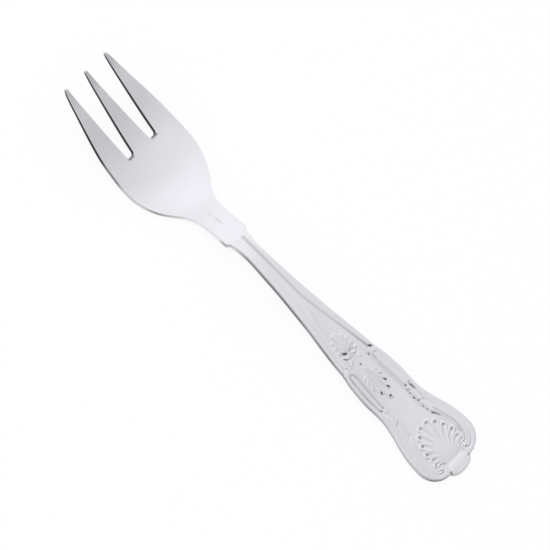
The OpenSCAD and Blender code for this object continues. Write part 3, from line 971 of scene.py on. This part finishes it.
@dataclass
class ForkMesh:
    """The closed mesh of the whole fork, with the ornaments struck into its face in order."""

    form: Form
    weave: Weave
    ornaments: Sequence[object]
    points: list[Array] = field(default_factory=list)
    # How dark the painted shade and the marks are at each point
    painted_shade_and_marks: list[Array] = field(default_factory=list)
    faces: list[tuple[int, ...]] = field(default_factory=list)
    count: int = 0

    def across(self, low: Array, high: Array, radius: Array, count: int) -> Array:
        """Sides of the points across a strip, close together at both edges.

        Args:
            low: side of the strip's first edge in each row.
            high: side of its last edge.
            radius: the rim's radius in each row.
            count: points between the two rims.

        Returns:
            One row of sides for each row.
        """
        offsets = self.weave.rim_offsets(radius, (high - low) / 2)
        first, last = low[:, None] + offsets, high[:, None] - offsets
        share = np.linspace(0, 1, count + 2)[None, 1:-1]
        inner = first[:, -1:] + share * (last[:, -1:] - first[:, -1:])
        return np.hstack([first, inner, last[:, ::-1]])

    def head_plan(self) -> Plan:
        """The grid of the tines, the bowl and the neck.

        Returns:
            The plan, with no points in the slots.
        """
        b, w, form = self.form.blank, self.weave, self.form
        half_tip, start = b.tip_width / 2, b.tine_length - b.root_round
        turn = np.linspace(0, math.pi / 2, w.corner_rows)
        tips = half_tip * (1 - np.cos(turn))
        tines = np.linspace(half_tip, start, round((start - half_tip) / w.tine_step))
        roots = start + b.root_round * np.sin(turn)
        radius = float(form.curve["rim"](b.tine_length))
        bend = np.linspace(0, math.pi / 2, w.root_rows)[1:]
        behind = b.tine_length + radius * (1 - np.cos(bend)) ** w.rim_crowd
        rest = w.spread(form, behind[-1] + w.bowl_step / 2, b.step + w.head_past, w.bowl_step)
        places = np.concatenate([tips, tines[1:], roots[1:], behind, rest])
        root = len(tips) + len(tines) + len(roots) - 3
        slotted = places[: root + 1]
        rim = form.curve["rim"](slotted)
        near, far = form.slot_edges(slotted)
        wide = form.half_width(slotted)
        middle = self.across(-near, near, rim, w.tine_columns)
        outer = self.across(far, wide, rim, w.tine_columns)
        gap = np.linspace(0, 1, w.slot_columns + 2)[None, 1:-1]
        slot = near[:, None] + gap * (far - near)[:, None]
        parts = (-outer[:, ::-1], -slot[:, ::-1], middle, slot, outer)
        cut = np.hstack(parts)
        used = np.hstack([np.full(part.shape, k % 2 == 0) for k, part in enumerate(parts)])
        m, columns = w.rim_columns, cut.shape[1]
        plain = places[root + 1:]
        rim, wide = form.curve["rim"](plain), form.half_width(plain)
        offsets = w.rim_offsets(rim, wide)
        inner_edge = wide - offsets[:, -1]
        shares = cut[root, m + 1: columns - m - 1] / (form.half_width(places[root]) - radius * w.rim_reach)
        even = np.linspace(-1, 1, len(shares) + 2)[1:-1]
        blend = smooth_step((plain - b.tine_length) / w.blend_length)[:, None]
        inner = ((1 - blend) * shares + blend * even) * inner_edge[:, None]
        rims = wide[:, None] - offsets
        whole = np.hstack([-rims, inner, rims[:, ::-1]])
        side = np.vstack([cut, whole])
        used = np.vstack([used, np.ones_like(whole, bool)])
        used[root] = True
        edge = np.zeros_like(used)
        edge[:, 0] = edge[:, -1] = True
        wide_count, slot_count = outer.shape[1], slot.shape[1]
        first, second = wide_count, 2 * wide_count + slot_count
        for a in (first, second):
            edge[: root + 1, a - 1] = edge[: root + 1, a + slot_count] = True
            edge[root, a - 1: a + slot_count + 1] = True
        edge[0] = used[0]
        keep = np.ones(columns, bool)
        thinned = np.arange(wide_count - 2 * m - 2) % w.head_thin == w.head_thin // 2
        for a in (0, first + slot_count, second + slot_count):
            keep[a + m + 1: a + wide_count - m - 1] = thinned
        rows = np.arange(len(places))
        return Plan(np.repeat(places[:, None], columns, 1), side, used, edge, np.flatnonzero(keep), rows)

    def strip_plan(
        self, start: float, end: float, step: float, columns: int, thin: int, skip: int = 1,
        closed: bool = False,
    ) -> Plan:
        """The grid of a stretch of the stem or the handle.

        Args:
            start: its first place.
            end: its last place, apart from the end lobe.
            step: distance between rows.
            columns: points between the two rims.
            thin: the back keeps one column in this many.
            skip: the back keeps one row in this many.
            closed: whether the end lobe follows, which ends the fork in one point.

        Returns:
            The plan.
        """
        b, w, form = self.form.blank, self.weave, self.form
        places = w.spread(form, start, end, step)
        if closed:
            turn = np.linspace(0, math.pi / 2, w.end_rows)[1:]
            places = np.concatenate([places, b.lobe + b.lobe_length * np.sin(turn)])
        wide = form.half_width(places)
        side = self.across(-wide, wide, form.curve["rim"](places), columns)
        used = np.ones_like(side, bool)
        edge = np.zeros_like(used)
        edge[:, 0] = edge[:, -1] = True
        edge[-1] |= closed
        keep = np.ones(side.shape[1], bool)
        keep[w.rim_columns + 1: -w.rim_columns - 1] = np.arange(columns) % thin == thin // 2
        rows = np.arange(len(places))
        kept = rows[(rows % skip == 0) | (rows == rows[-1]) | (places > b.lobe - w.end_zone)]
        place = np.repeat(places[:, None], side.shape[1], 1)
        return Plan(place, side, used, edge, np.flatnonzero(keep), kept)

    def outline_tree(self, plans: Sequence[Plan]) -> kdtree.KDTree:
        """A search tree of points close together on the outline.

        Args:
            plans: the grids.

        Returns:
            The balanced tree.
        """
        chains = []
        for plan in plans:
            for column in range(plan.edge.shape[1]):
                rows = np.flatnonzero(plan.edge[:, column])
                if len(rows) > 1:
                    chains.append(np.stack([plan.place[rows, column], plan.side[rows, column]], 1))
            for row in range(1, len(plan.edge) - 1):
                for columns in self.runs(plan.edge[row]):
                    if len(columns) > 1:
                        chains.append(np.stack([plan.place[row, columns], plan.side[row, columns]], 1))
        for first, second in zip(plans, plans[1:]):
            for column in (0, -1):
                chains.append(np.array([(first.place[-1, column], first.side[-1, column]),
                                        (second.place[0, column], second.side[0, column])]))
        dense = []
        for chain in chains:
            steps = np.hypot(*np.diff(chain, axis=0).T)
            for a, b, length in zip(chain, chain[1:], steps):
                if length > self.weave.link_length:
                    continue
                pieces = max(1, math.ceil(length / self.weave.dot_step))
                dense.append(a + np.arange(pieces)[:, None] / pieces * (b - a))
            dense.append(chain[-1:])
        flat = np.vstack(dense)
        tree = kdtree.KDTree(len(flat))
        for index, (place, side) in enumerate(flat):
            tree.insert((place, side, 0.0), index)
        tree.balance()
        return tree

    def depths(self, plan: Plan, tree: kdtree.KDTree) -> Array:
        """Distance of each grid point from the outline.

        Args:
            plan: the grid.
            tree: points on the outline.

        Returns:
            The distances, cut off well past the rim.
        """
        b, w = self.form.blank, self.weave
        deep = np.full(plan.side.shape, FAR)
        close = self.form.half_width(plan.place) - np.abs(plan.side) < w.rim_zone
        close |= (plan.place > b.lobe - w.lobe_zone) | (plan.place < b.tine_length + w.root_zone)
        for i, j in zip(*np.nonzero(close & plan.used & ~plan.edge)):
            deep[i, j] = tree.find((plan.place[i, j], plan.side[i, j], 0.0))[2]
        deep[plan.edge] = 0.0
        return deep

    def store(
        self, place: Array, side: Array, height: Array, middle: Array,
        painted_shade_and_marks: Array | None = None,
    ) -> Array:
        """Add points, set over so that the cut edges stay square to the bent blank.

        Args:
            place: their places.
            side: their sides.
            height: their heights.
            middle: height of the middle of the blank there.
            painted_shade_and_marks: how dark the painted shade and the marks at each are, none if it isn't
                given.

        Returns:
            Their indices.
        """
        lean = self.form.lean(place)
        shift = lean * (height - middle) / (1 + lean**2)
        self.points.append(np.stack([self.form.blank.length / 2 - place + shift, side, height], 1))
        self.painted_shade_and_marks.append(np.zeros(len(place)) if painted_shade_and_marks is None else painted_shade_and_marks)
        index = np.arange(self.count, self.count + len(place))
        self.count += len(place)
        return index

    def add_face(self, corners: Iterable[int]) -> None:
        """Add one face, leaving out corners that fall together."""
        ring = [int(c) for c in corners]
        ring = [c for k, c in enumerate(ring) if c != ring[k - 1]]
        if len(set(ring)) > 2:
            self.faces.append(tuple(ring))

    def quilt(self, ids: Array, used: Array, columns: Array, rows: Array, up: bool) -> None:
        """Add the quads of a grid.

        Args:
            ids: index of each grid point.
            used: which grid points there are.
            columns: the columns to join.
            rows: the rows to join.
            up: whether the faces look up.
        """
        for r0, r1 in zip(rows, rows[1:]):
            for c0, c1 in zip(columns, columns[1:]):
                if used[r0, c0: c1 + 1].all() and used[r1, c0: c1 + 1].all():
                    ring = (ids[r0, c0], ids[r0, c1], ids[r1, c1], ids[r1, c0])
                    self.add_face(ring if up else ring[::-1])

    def hem(self, ids: Array, column: int, inner: int, rows: Array, up: bool) -> None:
        """Join every point of an edge column to an inner column that has fewer rows.

        Args:
            ids: index of each grid point.
            column: the edge column.
            inner: the inner column.
            rows: the rows that the inner column has.
            up: whether the faces look up.
        """
        flip = up != (inner > column)
        for r0, r1 in zip(rows, rows[1:]):
            half = (r0 + r1) // 2
            ring = [(ids[r, column], ids[r + 1, column], ids[r0, inner]) for r in range(r0, half)]
            ring.append((ids[half, column], ids[r1, inner], ids[r0, inner]))
            ring += [(ids[r, column], ids[r + 1, column], ids[r1, inner]) for r in range(half, r1)]
            for corners in ring:
                self.add_face(corners if flip else corners[::-1])

    def zip_rows(
        self, first: Array, first_side: Array, second: Array, second_side: Array, up: bool
    ) -> None:
        """Join two rows with different numbers of points.

        Args:
            first: indices of the row nearer the tips.
            first_side: the sides of its points.
            second: indices of the other row.
            second_side: the sides of its points.
            up: whether the faces look up.
        """
        i = j = 0
        while i < len(first) - 1 or j < len(second) - 1:
            forward = j == len(second) - 1 or (
                i < len(first) - 1
                and first_side[i + 1] + first_side[i] < second_side[j + 1] + second_side[j]
            )
            corners = (first[i], first[i + 1], second[j]) if forward else (first[i], second[j + 1], second[j])
            i, j = (i + 1, j) if forward else (i, j + 1)
            self.add_face(corners if up else corners[::-1])

    def heights(self, plan: Plan, tree: kdtree.KDTree) -> tuple[Array, Array, Array, Array]:
        """Heights of a grid's points, with the ornaments struck.

        Args:
            plan: the grid.
            tree: points on the outline.

        Returns:
            The heights of the face, the back and the middle, and how dark the painted shade and the marks
            are.
        """
        w, shape = self.weave, plan.side.shape
        deep = self.depths(plan, tree)
        high, low, middle = self.form.faces(plan.place, plan.side, deep)
        relief = Relief(plan.place.ravel(), plan.side.ravel(), self.form)
        for ornament in self.ornaments:
            ornament.strike(relief)
        high = high + relief.height.reshape(shape) * smooth_step((deep - w.plain_edge) / w.relief_fade)
        return high, low, middle, relief.painted_shade_and_marks.reshape(shape) * smooth_step(deep / w.shade_fade)

    def lay(self, plan: Plan, tree: kdtree.KDTree, first: bool, last: bool) -> tuple[Array, Array]:
        """Raise a grid to its heights, and add its points and its faces.

        Args:
            plan: the grid.
            tree: points on the outline.
            first: whether it starts at the tips.
            last: whether it ends the fork.

        Returns:
            The index of each grid point on the face, and on the back.
        """
        place, side = plan.place, plan.side
        high, low, middle, dark = self.heights(plan, tree)
        face, back = np.full(side.shape, -1), np.full(side.shape, -1)
        body = plan.used & ~plan.edge
        face[body] = self.store(place[body], side[body], high[body], middle[body], dark[body])
        under = np.zeros_like(body)
        under[np.ix_(plan.back_rows, plan.back_columns)] = True
        under &= body
        back[under] = self.store(place[under], side[under], low[under], middle[under])
        for strip in self.runs(plan.used[0]) if first else ():
            level = middle[0, strip[:1]]
            tip = self.store(place[0, strip[:1]], side[0, strip].mean(keepdims=True), level, level)
            face[0, strip] = back[0, strip] = tip[0]
        rest = plan.edge & (face < 0)
        if last:
            level = middle[-1, :1]
            face[-1] = back[-1] = self.store(place[-1, :1], np.zeros(1), level, level)[0]
            rest[-1] = False
        face[rest] = back[rest] = self.store(place[rest], side[rest], middle[rest], middle[rest])
        columns, rows = plan.back_columns, plan.back_rows
        self.quilt(face, plan.used, np.arange(side.shape[1]), np.arange(len(side)), True)
        if len(rows) == len(side):
            self.quilt(back, plan.used, columns, rows, False)
        else:
            self.quilt(back, plan.used, columns[1:-1], rows, False)
            self.hem(back, 0, columns[1], rows, False)
            self.hem(back, side.shape[1] - 1, columns[-2], rows, False)
        return face, back

    def build(self) -> tuple[Array, list[tuple[int, ...]], Array]:
        """Lay out the grids, raise them to their heights and join them.

        Returns:
            The points in millimetres, the faces, and the recess value of each point.
        """
        b, w = self.form.blank, self.weave
        stem, handle = b.step + w.head_past + w.grid_gap, b.nick - w.relief_lead
        plans = [
            self.head_plan(),
            self.strip_plan(stem, handle, w.stem_step, w.stem_columns, w.stem_thin),
            self.strip_plan(
                handle + w.grid_gap, b.lobe, w.handle_step, w.handle_columns, w.handle_thin, w.handle_skip,
                closed=True,
            ),
        ]
        tree = self.outline_tree(plans)
        laid = [self.lay(plan, tree, plan is plans[0], plan is plans[-1]) for plan in plans]
        for (face_a, back_a), (face_b, back_b), plan_a, plan_b in zip(laid, laid[1:], plans, plans[1:]):
            self.zip_rows(face_a[-1], plan_a.side[-1], face_b[0], plan_b.side[0], True)
            a, c = plan_a.back_columns, plan_b.back_columns
            self.zip_rows(back_a[-1, a], plan_a.side[-1, a], back_b[0, c], plan_b.side[0, c], False)
        return np.vstack(self.points), self.faces, np.concatenate(self.painted_shade_and_marks)

    @staticmethod
    def runs(used: Array) -> list[Array]:
        """Runs of neighbouring columns that are used."""
        index = np.flatnonzero(used)
        return np.split(index, np.flatnonzero(np.diff(index) > 1) + 1)


# Finishes


def linear(colour: str) -> tuple[float, float, float, float]:
    """An sRGB hex colour as linear red, green, blue and alpha."""
    parts = [int(colour[k: k + 2], 16) / 255 for k in (1, 3, 5)]
    return (*(c / 12.92 if c <= 0.04045 else ((c + 0.055) / 1.055) ** 2.4 for c in parts), 1.0)


def add_node(
    tree: bpy.types.NodeTree, kind: str, settings: dict[str, object] | None = None,
    values: dict[str | int, object] | None = None, links: dict[str | int, bpy.types.NodeSocket] | None = None,
) -> bpy.types.Node:
    """Add a node with its settings and links.

    Args:
        tree: the node tree.
        kind: the node's type, without the ShaderNode that it starts with.
        settings: its properties.
        values: values of its inputs, by name or index.
        links: sockets that its inputs take their values from.

    Returns:
        The node.
    """
    node = tree.nodes.new("ShaderNode" + kind)
    for name, value in (settings or {}).items():
        setattr(node, name, value)
    for name, value in (values or {}).items():
        node.inputs[name].default_value = value
    for name, socket in (links or {}).items():
        tree.links.new(socket, node.inputs[name])
    return node
def empty_tree(owner: bpy.types.Material | bpy.types.World) -> bpy.types.NodeTree:
    """The node tree of a material or of the world, with nothing in it."""
    owner.use_nodes = True
    owner.node_tree.nodes.clear()
    return owner.node_tree


def put_in_scene(name: str, data: bpy.types.ID) -> bpy.types.Object:
    """Make an object of a mesh, a lamp or a camera and link it to the scene."""
    made = bpy.data.objects.new(name, data)
    bpy.context.scene.collection.objects.link(made)
    return made


def add_values(mesh: bpy.types.Mesh, name: str, values: Sequence[float]) -> None:
    """Give each point of a mesh a value that its material reads by name."""
    mesh.attributes.new(name, "FLOAT", "POINT").data.foreach_set("value", np.array(values, np.float32))
@dataclass(frozen=True)
class PolishedSteel:
    """Stainless steel, struck and then polished on a cloth wheel.

    It gives the eye a bright, cool grey mirror that is a little soft, with hair-fine marks along
    the fork from use. Painted shade darkens its colour in the pattern's recesses, on the slopes
    that face away from the light and on the stem and the handle, and a painted near black shade
    covers the steep cut edges. Real marks are a few hundredths of a millimetre wide, so they are
    drawn 0.35 mm wide to show at all, and the smudges are as wide as a fingertip's, 6 mm.
    """

    name: str = "polished_stainless_steel"
    metal: str = "#E9E9EF"
    # Colour of the painted shade in the pattern and on the stem and the handle, and of the marks
    painted_shade: str = "#3C3C42"
    # Colour of the painted near black shade on the steep cut edges
    wall: str = "#101014"
    roughness: float = 0.2
    roughness_swing: float = 0.05
    scratch_width: float = 0.00035
    scratch_length: float = 0.012
    smudge_size: float = 0.006
    smudge_span: tuple[float, float] = (0.3, 0.7)
    scratch_strength: float = 0.06
    scratch_depth: float = 0.00004
    flank_span: tuple[float, float] = (0.4, 0.92)

    def make(self) -> bpy.types.Material:
        """Build the material, mixing the face's painted shade and marks and the cut edges' painted shade into
        its colour.

        Returns:
            The material.
        """
        material = bpy.data.materials.new(self.name)
        tree = empty_tree(material)
        where = add_node(tree, "TexCoord")
        painted_shade_and_marks = add_node(tree, "Attribute", {"attribute_name": "painted_shade_and_marks"}).outputs["Fac"]
        edge_shade = add_node(tree, "Attribute", {"attribute_name": "painted_edge_shade"}).outputs["Fac"]
        # Painted shade on the cut edges: the wall colour where the surface is steep, by each edge's painted
        # shade
        normal = add_node(tree, "SeparateXYZ", links={0: where.outputs["Normal"]})
        steep = add_node(tree, "Math", {"operation": "ABSOLUTE"}, links={0: normal.outputs["Z"]})
        low, high = self.flank_span
        flank = add_node(
            tree, "MapRange", {"interpolation_type": "SMOOTHSTEP"},
            {"From Min": low, "From Max": high, "To Min": 1.0, "To Max": 0.0}, {"Value": steep.outputs[0]},
        )
        kept = add_node(
            tree, "Math", {"operation": "MULTIPLY"}, links={0: flank.outputs["Result"], 1: edge_shade}
        )
        edge_shaded = add_node(
            tree, "Mix", {"data_type": "RGBA"}, {6: linear(self.metal), 7: linear(self.wall)},
            {0: kept.outputs[0]},
        )
        # The face's painted shade and marks over that
        coloured = add_node(
            tree, "Mix", {"data_type": "RGBA"}, {7: linear(self.painted_shade)},
            {0: painted_shade_and_marks, 6: edge_shaded.outputs[2]},
        )
        across = 1 / self.scratch_width
        stretch = add_node(
            tree, "Mapping", values={"Scale": (1 / self.scratch_length, across, across)},
            links={"Vector": where.outputs["Object"]},
        )
        scratches = add_node(
            tree, "TexNoise", values={"Scale": 1.0, "Detail": 3.0, "Roughness": 0.6},
            links={"Vector": stretch.outputs[0]},
        )
        smudges = add_node(
            tree, "TexNoise", values={"Scale": 1 / self.smudge_size, "Detail": 4.0},
            links={"Vector": where.outputs["Object"]},
        )
        low, high = self.smudge_span
        smooth, rough = self.roughness - self.roughness_swing, self.roughness + self.roughness_swing
        softness = add_node(
            tree, "MapRange", values={"From Min": low, "From Max": high, "To Min": smooth, "To Max": rough},
            links={"Value": smudges.outputs[0]},
        )
        bump = add_node(
            tree, "Bump", values={"Strength": self.scratch_strength, "Distance": self.scratch_depth},
            links={"Height": scratches.outputs[0]},
        )
        shader = add_node(tree, "BsdfPrincipled", values={"Metallic": 1.0}, links={
            "Base Color": coloured.outputs[2], "Roughness": softness.outputs[0], "Normal": bump.outputs[0],
        })
        add_node(tree, "OutputMaterial", links={"Surface": shader.outputs[0]})
        return material


# The fork


@dataclass(frozen=True)
class EdgeShade:
    """How much painted shade the cut edges get: dark between and along the tines, lighter along the bowl, the
    neck and most of the handle.

    The outer pairs are a place and how much painted shade the outline's edge gets there.
    """

    outer: Pairs = (
        (0.0, 0.6), (3.0, 1.6), (16.0, 1.6), (20.0, 1.0), (22.2, 0.75), (26.5, 0.75), (29.0, 0.3),
        (36.0, 0.25), (39.2, 0.68), (43.4, 0.3), (46.0, 0.0), (56.0, 0.0), (57.3, 0.5), (58.3, 0.5),
        (60.3, 0.12), (64.5, 0.62), (73.0, 0.77), (86.0, 0.77), (90.0, 0.6), (98.4, 0.74), (103.0, 0.55),
        (107.0, 0.5), (111.0, 0.42), (115.3, 0.55), (120.0, 0.4), (132.0, 0.4), (137.0, 0.3), (139.0, 0.5),
        (141.2, 1.1), (142.8, 0.9), (143.6, 0.45), (145.0, 0.3),
    )
    # Past this place, edges on the negative side keep only lit_share of their painted shade, as they face the
    # light
    lit_from: float = 120.0
    lit_share: float = 0.1
    slot_reach: float = 0.7
    slot_shade: float = 1.6
    slot_rise: float = 5.0
    slot_start: float = 0.2

    def share(self, form: Form, place: Array, side: Array) -> Array:
        """How much painted shade the edge gets near some points.

        Args:
            form: the blank.
            place: their places.
            side: their sides.

        Returns:
            From 0, no painted shade, to 1, dark. Above 1 the dark also spreads over the rim.
        """
        outer = np.interp(place, *np.array(self.outer).T)
        outer = np.where((side < 0) & (place > self.lit_from), outer * self.lit_share, outer)
        tines, reach = form.blank.tine_length, self.slot_reach
        flank = form.slot_edges(np.clip(place, 0.0, tines))[1]
        between = (place < tines + reach) & (np.abs(side) < flank + reach)
        slot = self.slot_shade * smooth_step(place / self.slot_rise + self.slot_start)
        return np.where(between, np.maximum(outer, slot), outer)


@dataclass
class Fork:
    """The whole fork: one blank, its ornaments and its finish."""

    blank: Blank = field(default_factory=Blank)
    weave: Weave = field(default_factory=Weave)
    finish: PolishedSteel = field(default_factory=PolishedSteel)
    edge_shading: EdgeShade = field(default_factory=EdgeShade)
    ornaments: tuple[object, ...] = (
        Husk(), Palmette(), Shell(), Field(), StemThreads(), Panel(), Shoulders(), Scuffs(), SlotRootShade(),
    )

    def build(self) -> bpy.types.Object:
        """Make the fork's object.

        Returns:
            The object, smooth-shaded, with the painted_shade_and_marks and painted_edge_shade attributes.
        """
        form = Form(self.blank)
        points, faces, painted_shade_and_marks = ForkMesh(form, self.weave, self.ornaments).build()
        mesh = bpy.data.meshes.new("oyster_fork")
        mesh.from_pydata((points * MILLIMETRE).tolist(), [], faces)
        mesh.polygons.foreach_set("use_smooth", np.ones(len(mesh.polygons), bool))
        # How much painted shade each cut edge gets
        edge_shade = self.edge_shading.share(form, self.blank.length / 2 - points[:, 0], points[:, 1])
        add_values(mesh, "painted_shade_and_marks", painted_shade_and_marks)
        add_values(mesh, "painted_edge_shade", edge_shade)
        mesh.update()
        return put_in_scene("oyster_fork", mesh)

    def dress(self, piece: bpy.types.Object) -> None:
        """Give the fork its finish and its place in the frame."""
        piece.data.materials.append(self.finish.make())
        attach(piece, BODY)
        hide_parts(NODE)


# The studio


class Side(Enum):
    """Where the lamp or a patch of the tent is: azimuth from +X towards +Y and elevation, in degrees."""

    WINDOW = (24.0, 64.0)
    SKY = (-88.0, 81.0)
    OVERHEAD = (-119.0, 66.0)
    ROOM = (-146.0, 64.0)
    DOOR = (115.0, 15.0)

    def direction(self) -> Vector:
        """Unit vector towards that side."""
        azimuth, elevation = (math.radians(a) for a in self.value)
        level = math.cos(elevation)
        return Vector((level * math.cos(azimuth), level * math.sin(azimuth), math.sin(elevation)))


@dataclass(frozen=True)
class Camera:
    """The photograph's camera: a long lens above the fork, turned so that the fork runs at 45 degrees.

    The distance and the middle are in metres, the offsets from it in millimetres, the scale in
    pixels to the millimetre and the angles in degrees.
    """

    distance: float = 1.0
    roll_side: float = 25.0
    lean: float = 0.9
    middle: tuple[float, float, float] = (0.0, 0.0, 0.003)
    right_of_middle: float = 0.77
    above_middle: float = 0.03
    scale: float = 3.781
    turn: float = 44.5
    frame_pixels: int = 550
    nearest: float = 0.01

    def build(self) -> None:
        """Create the camera and make it the scene's."""
        lean, roll = math.radians(self.lean), math.radians(self.roll_side)
        back = Vector((-math.sin(lean), math.sin(roll) * math.cos(lean), math.cos(roll) * math.cos(lean)))
        handle = Vector((-1.0, 0.0, 0.0))
        handle = (handle - handle.dot(back) * back).normalized()
        other = back.cross(handle)
        turn = math.radians(self.turn)
        right = math.cos(turn) * handle + math.sin(turn) * other
        up = back.cross(right)
        data = bpy.data.cameras.new("camera")
        data.sensor_fit = "HORIZONTAL"
        width = self.frame_pixels / self.scale * MILLIMETRE
        data.lens = data.sensor_width * self.distance / width
        data.clip_start = self.nearest
        camera = put_in_scene("camera", data)
        target = Vector(self.middle) + (self.right_of_middle * right + self.above_middle * up) * MILLIMETRE
        spot = target + back * self.distance
        camera.matrix_world = Matrix.Translation(spot) @ Matrix((right, up, back)).transposed().to_4x4()
        bpy.context.scene.camera = camera


@dataclass(frozen=True)
class Patch:
    """A round patch of the tent: its full strength within one angle, nothing from another on."""

    side: Side
    inner: float
    outer: float
    strength: float

    def share(self, direction: Vector) -> float:
        """What the patch adds to the tent's white in one direction."""
        angle = math.degrees(direction.angle(self.side.direction()))
        return self.strength * float(smooth_step(np.array((self.outer - angle) / (self.outer - self.inner))))


@dataclass(frozen=True)
class Tent:
    """A white tent of paper round the fork, brighter by the window and darker towards the room.

    Only the polished metal mirrors it.
    """

    radius: float = 1.5
    turns: int = 72
    rings: int = 40
    patches: tuple[Patch, ...] = (
        Patch(Side.SKY, 0.0, 48.0, 0.24), Patch(Side.OVERHEAD, 10.0, 40.0, 0.55),
        Patch(Side.ROOM, 16.0, 52.0, -0.8), Patch(Side.DOOR, 10.0, 50.0, -0.5),
    )

    def tone(self, direction: Vector) -> float:
        """How bright the tent is in one direction."""
        return 1.0 + sum(patch.share(direction) for patch in self.patches)

    def paper(self) -> bpy.types.Material:
        """The tent's glowing paper, as bright as each point's tone.

        Returns:
            The material.
        """
        material = bpy.data.materials.new("tent_paper")
        tree = empty_tree(material)
        material.cycles.emission_sampling = "NONE"
        tone = add_node(tree, "Attribute", {"attribute_name": "tone"}).outputs["Fac"]
        glow = add_node(tree, "Emission", values={"Color": linear("#FFFFFF")}, links={"Strength": tone})
        add_node(tree, "OutputMaterial", links={"Surface": glow.outputs[0]})
        return material

    def build(self) -> None:
        """Make the tent, a dome down to the floor."""
        points, tones, faces = [], [], []
        for ring in range(self.rings + 1):
            fall = math.pi / 2 * ring / self.rings
            for step in range(self.turns):
                around = math.tau * step / self.turns
                level = math.sin(fall)
                spot = Vector((level * math.cos(around), level * math.sin(around), math.cos(fall)))
                points.append(spot * self.radius)
                tones.append(self.tone(spot))
        for ring in range(self.rings):
            for step in range(self.turns):
                a, b = ring * self.turns + step, ring * self.turns + (step + 1) % self.turns
                faces.append((a, b, b + self.turns, a + self.turns))
        mesh = bpy.data.meshes.new("tent")
        mesh.from_pydata(points, [], faces)
        add_values(mesh, "tone", tones)
        mesh.materials.append(self.paper())
        tent = put_in_scene("tent", mesh)
        tent.visible_camera = tent.visible_diffuse = tent.visible_shadow = tent.visible_transmission = False


@dataclass(frozen=True)
class Studio:
    """A plain pale floor, a soft lamp by the window and the tent that the polished metal mirrors."""

    floor_size: float = 4.0
    ambient: float = 0.8
    key_power: float = 3.2
    key_size: float = 0.9
    reach: float = 1.2
    floor_share: float = 0.12
    tent: Tent = field(default_factory=Tent)

    def seen(self, tree: bpy.types.NodeTree) -> bpy.types.NodeSocket:
        """A socket that is 1 for what the camera, a mirror or glass sees.

        Args:
            tree: the node tree.

        Returns:
            The socket.
        """
        path = add_node(tree, "LightPath")
        seen = path.outputs["Is Camera Ray"]
        for ray in ("Is Glossy Ray", "Is Transmission Ray"):
            links = {0: seen, 1: path.outputs[ray]}
            seen = add_node(tree, "Math", {"operation": "MAXIMUM"}, links=links).outputs[0]
        return seen

    def world(self) -> None:
        """White where it is seen, and a soft even light on everything else."""
        world = bpy.data.worlds.new("studio")
        tree = empty_tree(world)
        light, white = (
            add_node(tree, "Background", values={"Color": linear("#FFFFFF"), "Strength": strength})
            for strength in (self.ambient, 1.0)
        )
        links = {0: self.seen(tree), 1: light.outputs[0], 2: white.outputs[0]}
        both = add_node(tree, "MixShader", links=links)
        add_node(tree, "OutputWorld", links={"Surface": both.outputs[0]})
        bpy.context.scene.world = world

    def paper(self) -> bpy.types.Material:
        """The floor's white paper, which shows as white and still keeps the fork's shadow.

        Returns:
            The material.
        """
        material = bpy.data.materials.new("white_paper")
        tree = empty_tree(material)
        paper = add_node(tree, "BsdfDiffuse", values={"Color": (*[self.floor_share] * 3, 1.0)})
        glow, none = (
            add_node(tree, "Emission", values={"Color": linear("#FFFFFF"), "Strength": strength})
            for strength in (1 - self.floor_share, 0.0)
        )
        links = {0: self.seen(tree), 1: none.outputs[0], 2: glow.outputs[0]}
        shown = add_node(tree, "MixShader", links=links)
        total = add_node(tree, "AddShader", links={0: paper.outputs[0], 1: shown.outputs[0]})
        add_node(tree, "OutputMaterial", links={"Surface": total.outputs[0]})
        return material

    def floor(self) -> None:
        """Lay the floor."""
        half = self.floor_size / 2
        mesh = bpy.data.meshes.new("floor")
        corners = [(-half, -half, 0), (half, -half, 0), (half, half, 0), (-half, half, 0)]
        mesh.from_pydata(corners, [], [(0, 1, 2, 3)])
        mesh.materials.append(self.paper())
        put_in_scene("floor", mesh)

    def key_lamp(self) -> None:
        """Add the square soft lamp by the window, which faces the fork."""
        data = bpy.data.lights.new("key", "AREA")
        data.energy, data.size = self.key_power, self.key_size
        lamp = put_in_scene("key", data)
        lamp.visible_glossy = False
        direction = Side.WINDOW.direction()
        lamp.location = direction * self.reach
        lamp.rotation_euler = direction.to_track_quat("Z", "Y").to_euler()

    def build(self) -> None:
        """Set up the studio."""
        self.world()
        self.floor()
        self.key_lamp()
        self.tent.build()
        bpy.context.scene.view_settings.view_transform = "Standard"


def main() -> None:
    """Build the camera, the fork and the studio, and report each piece."""
    logging.basicConfig(level=logging.INFO, format="%(message)s")
    Camera().build()
    fork = Fork()
    piece = fork.build()
    fork.dress(piece)
    LOG.info("%s: %d points, %d faces", piece.name, len(piece.data.vertices), len(piece.data.polygons))
    Studio().build()


if __name__ == "__main__":
    main()
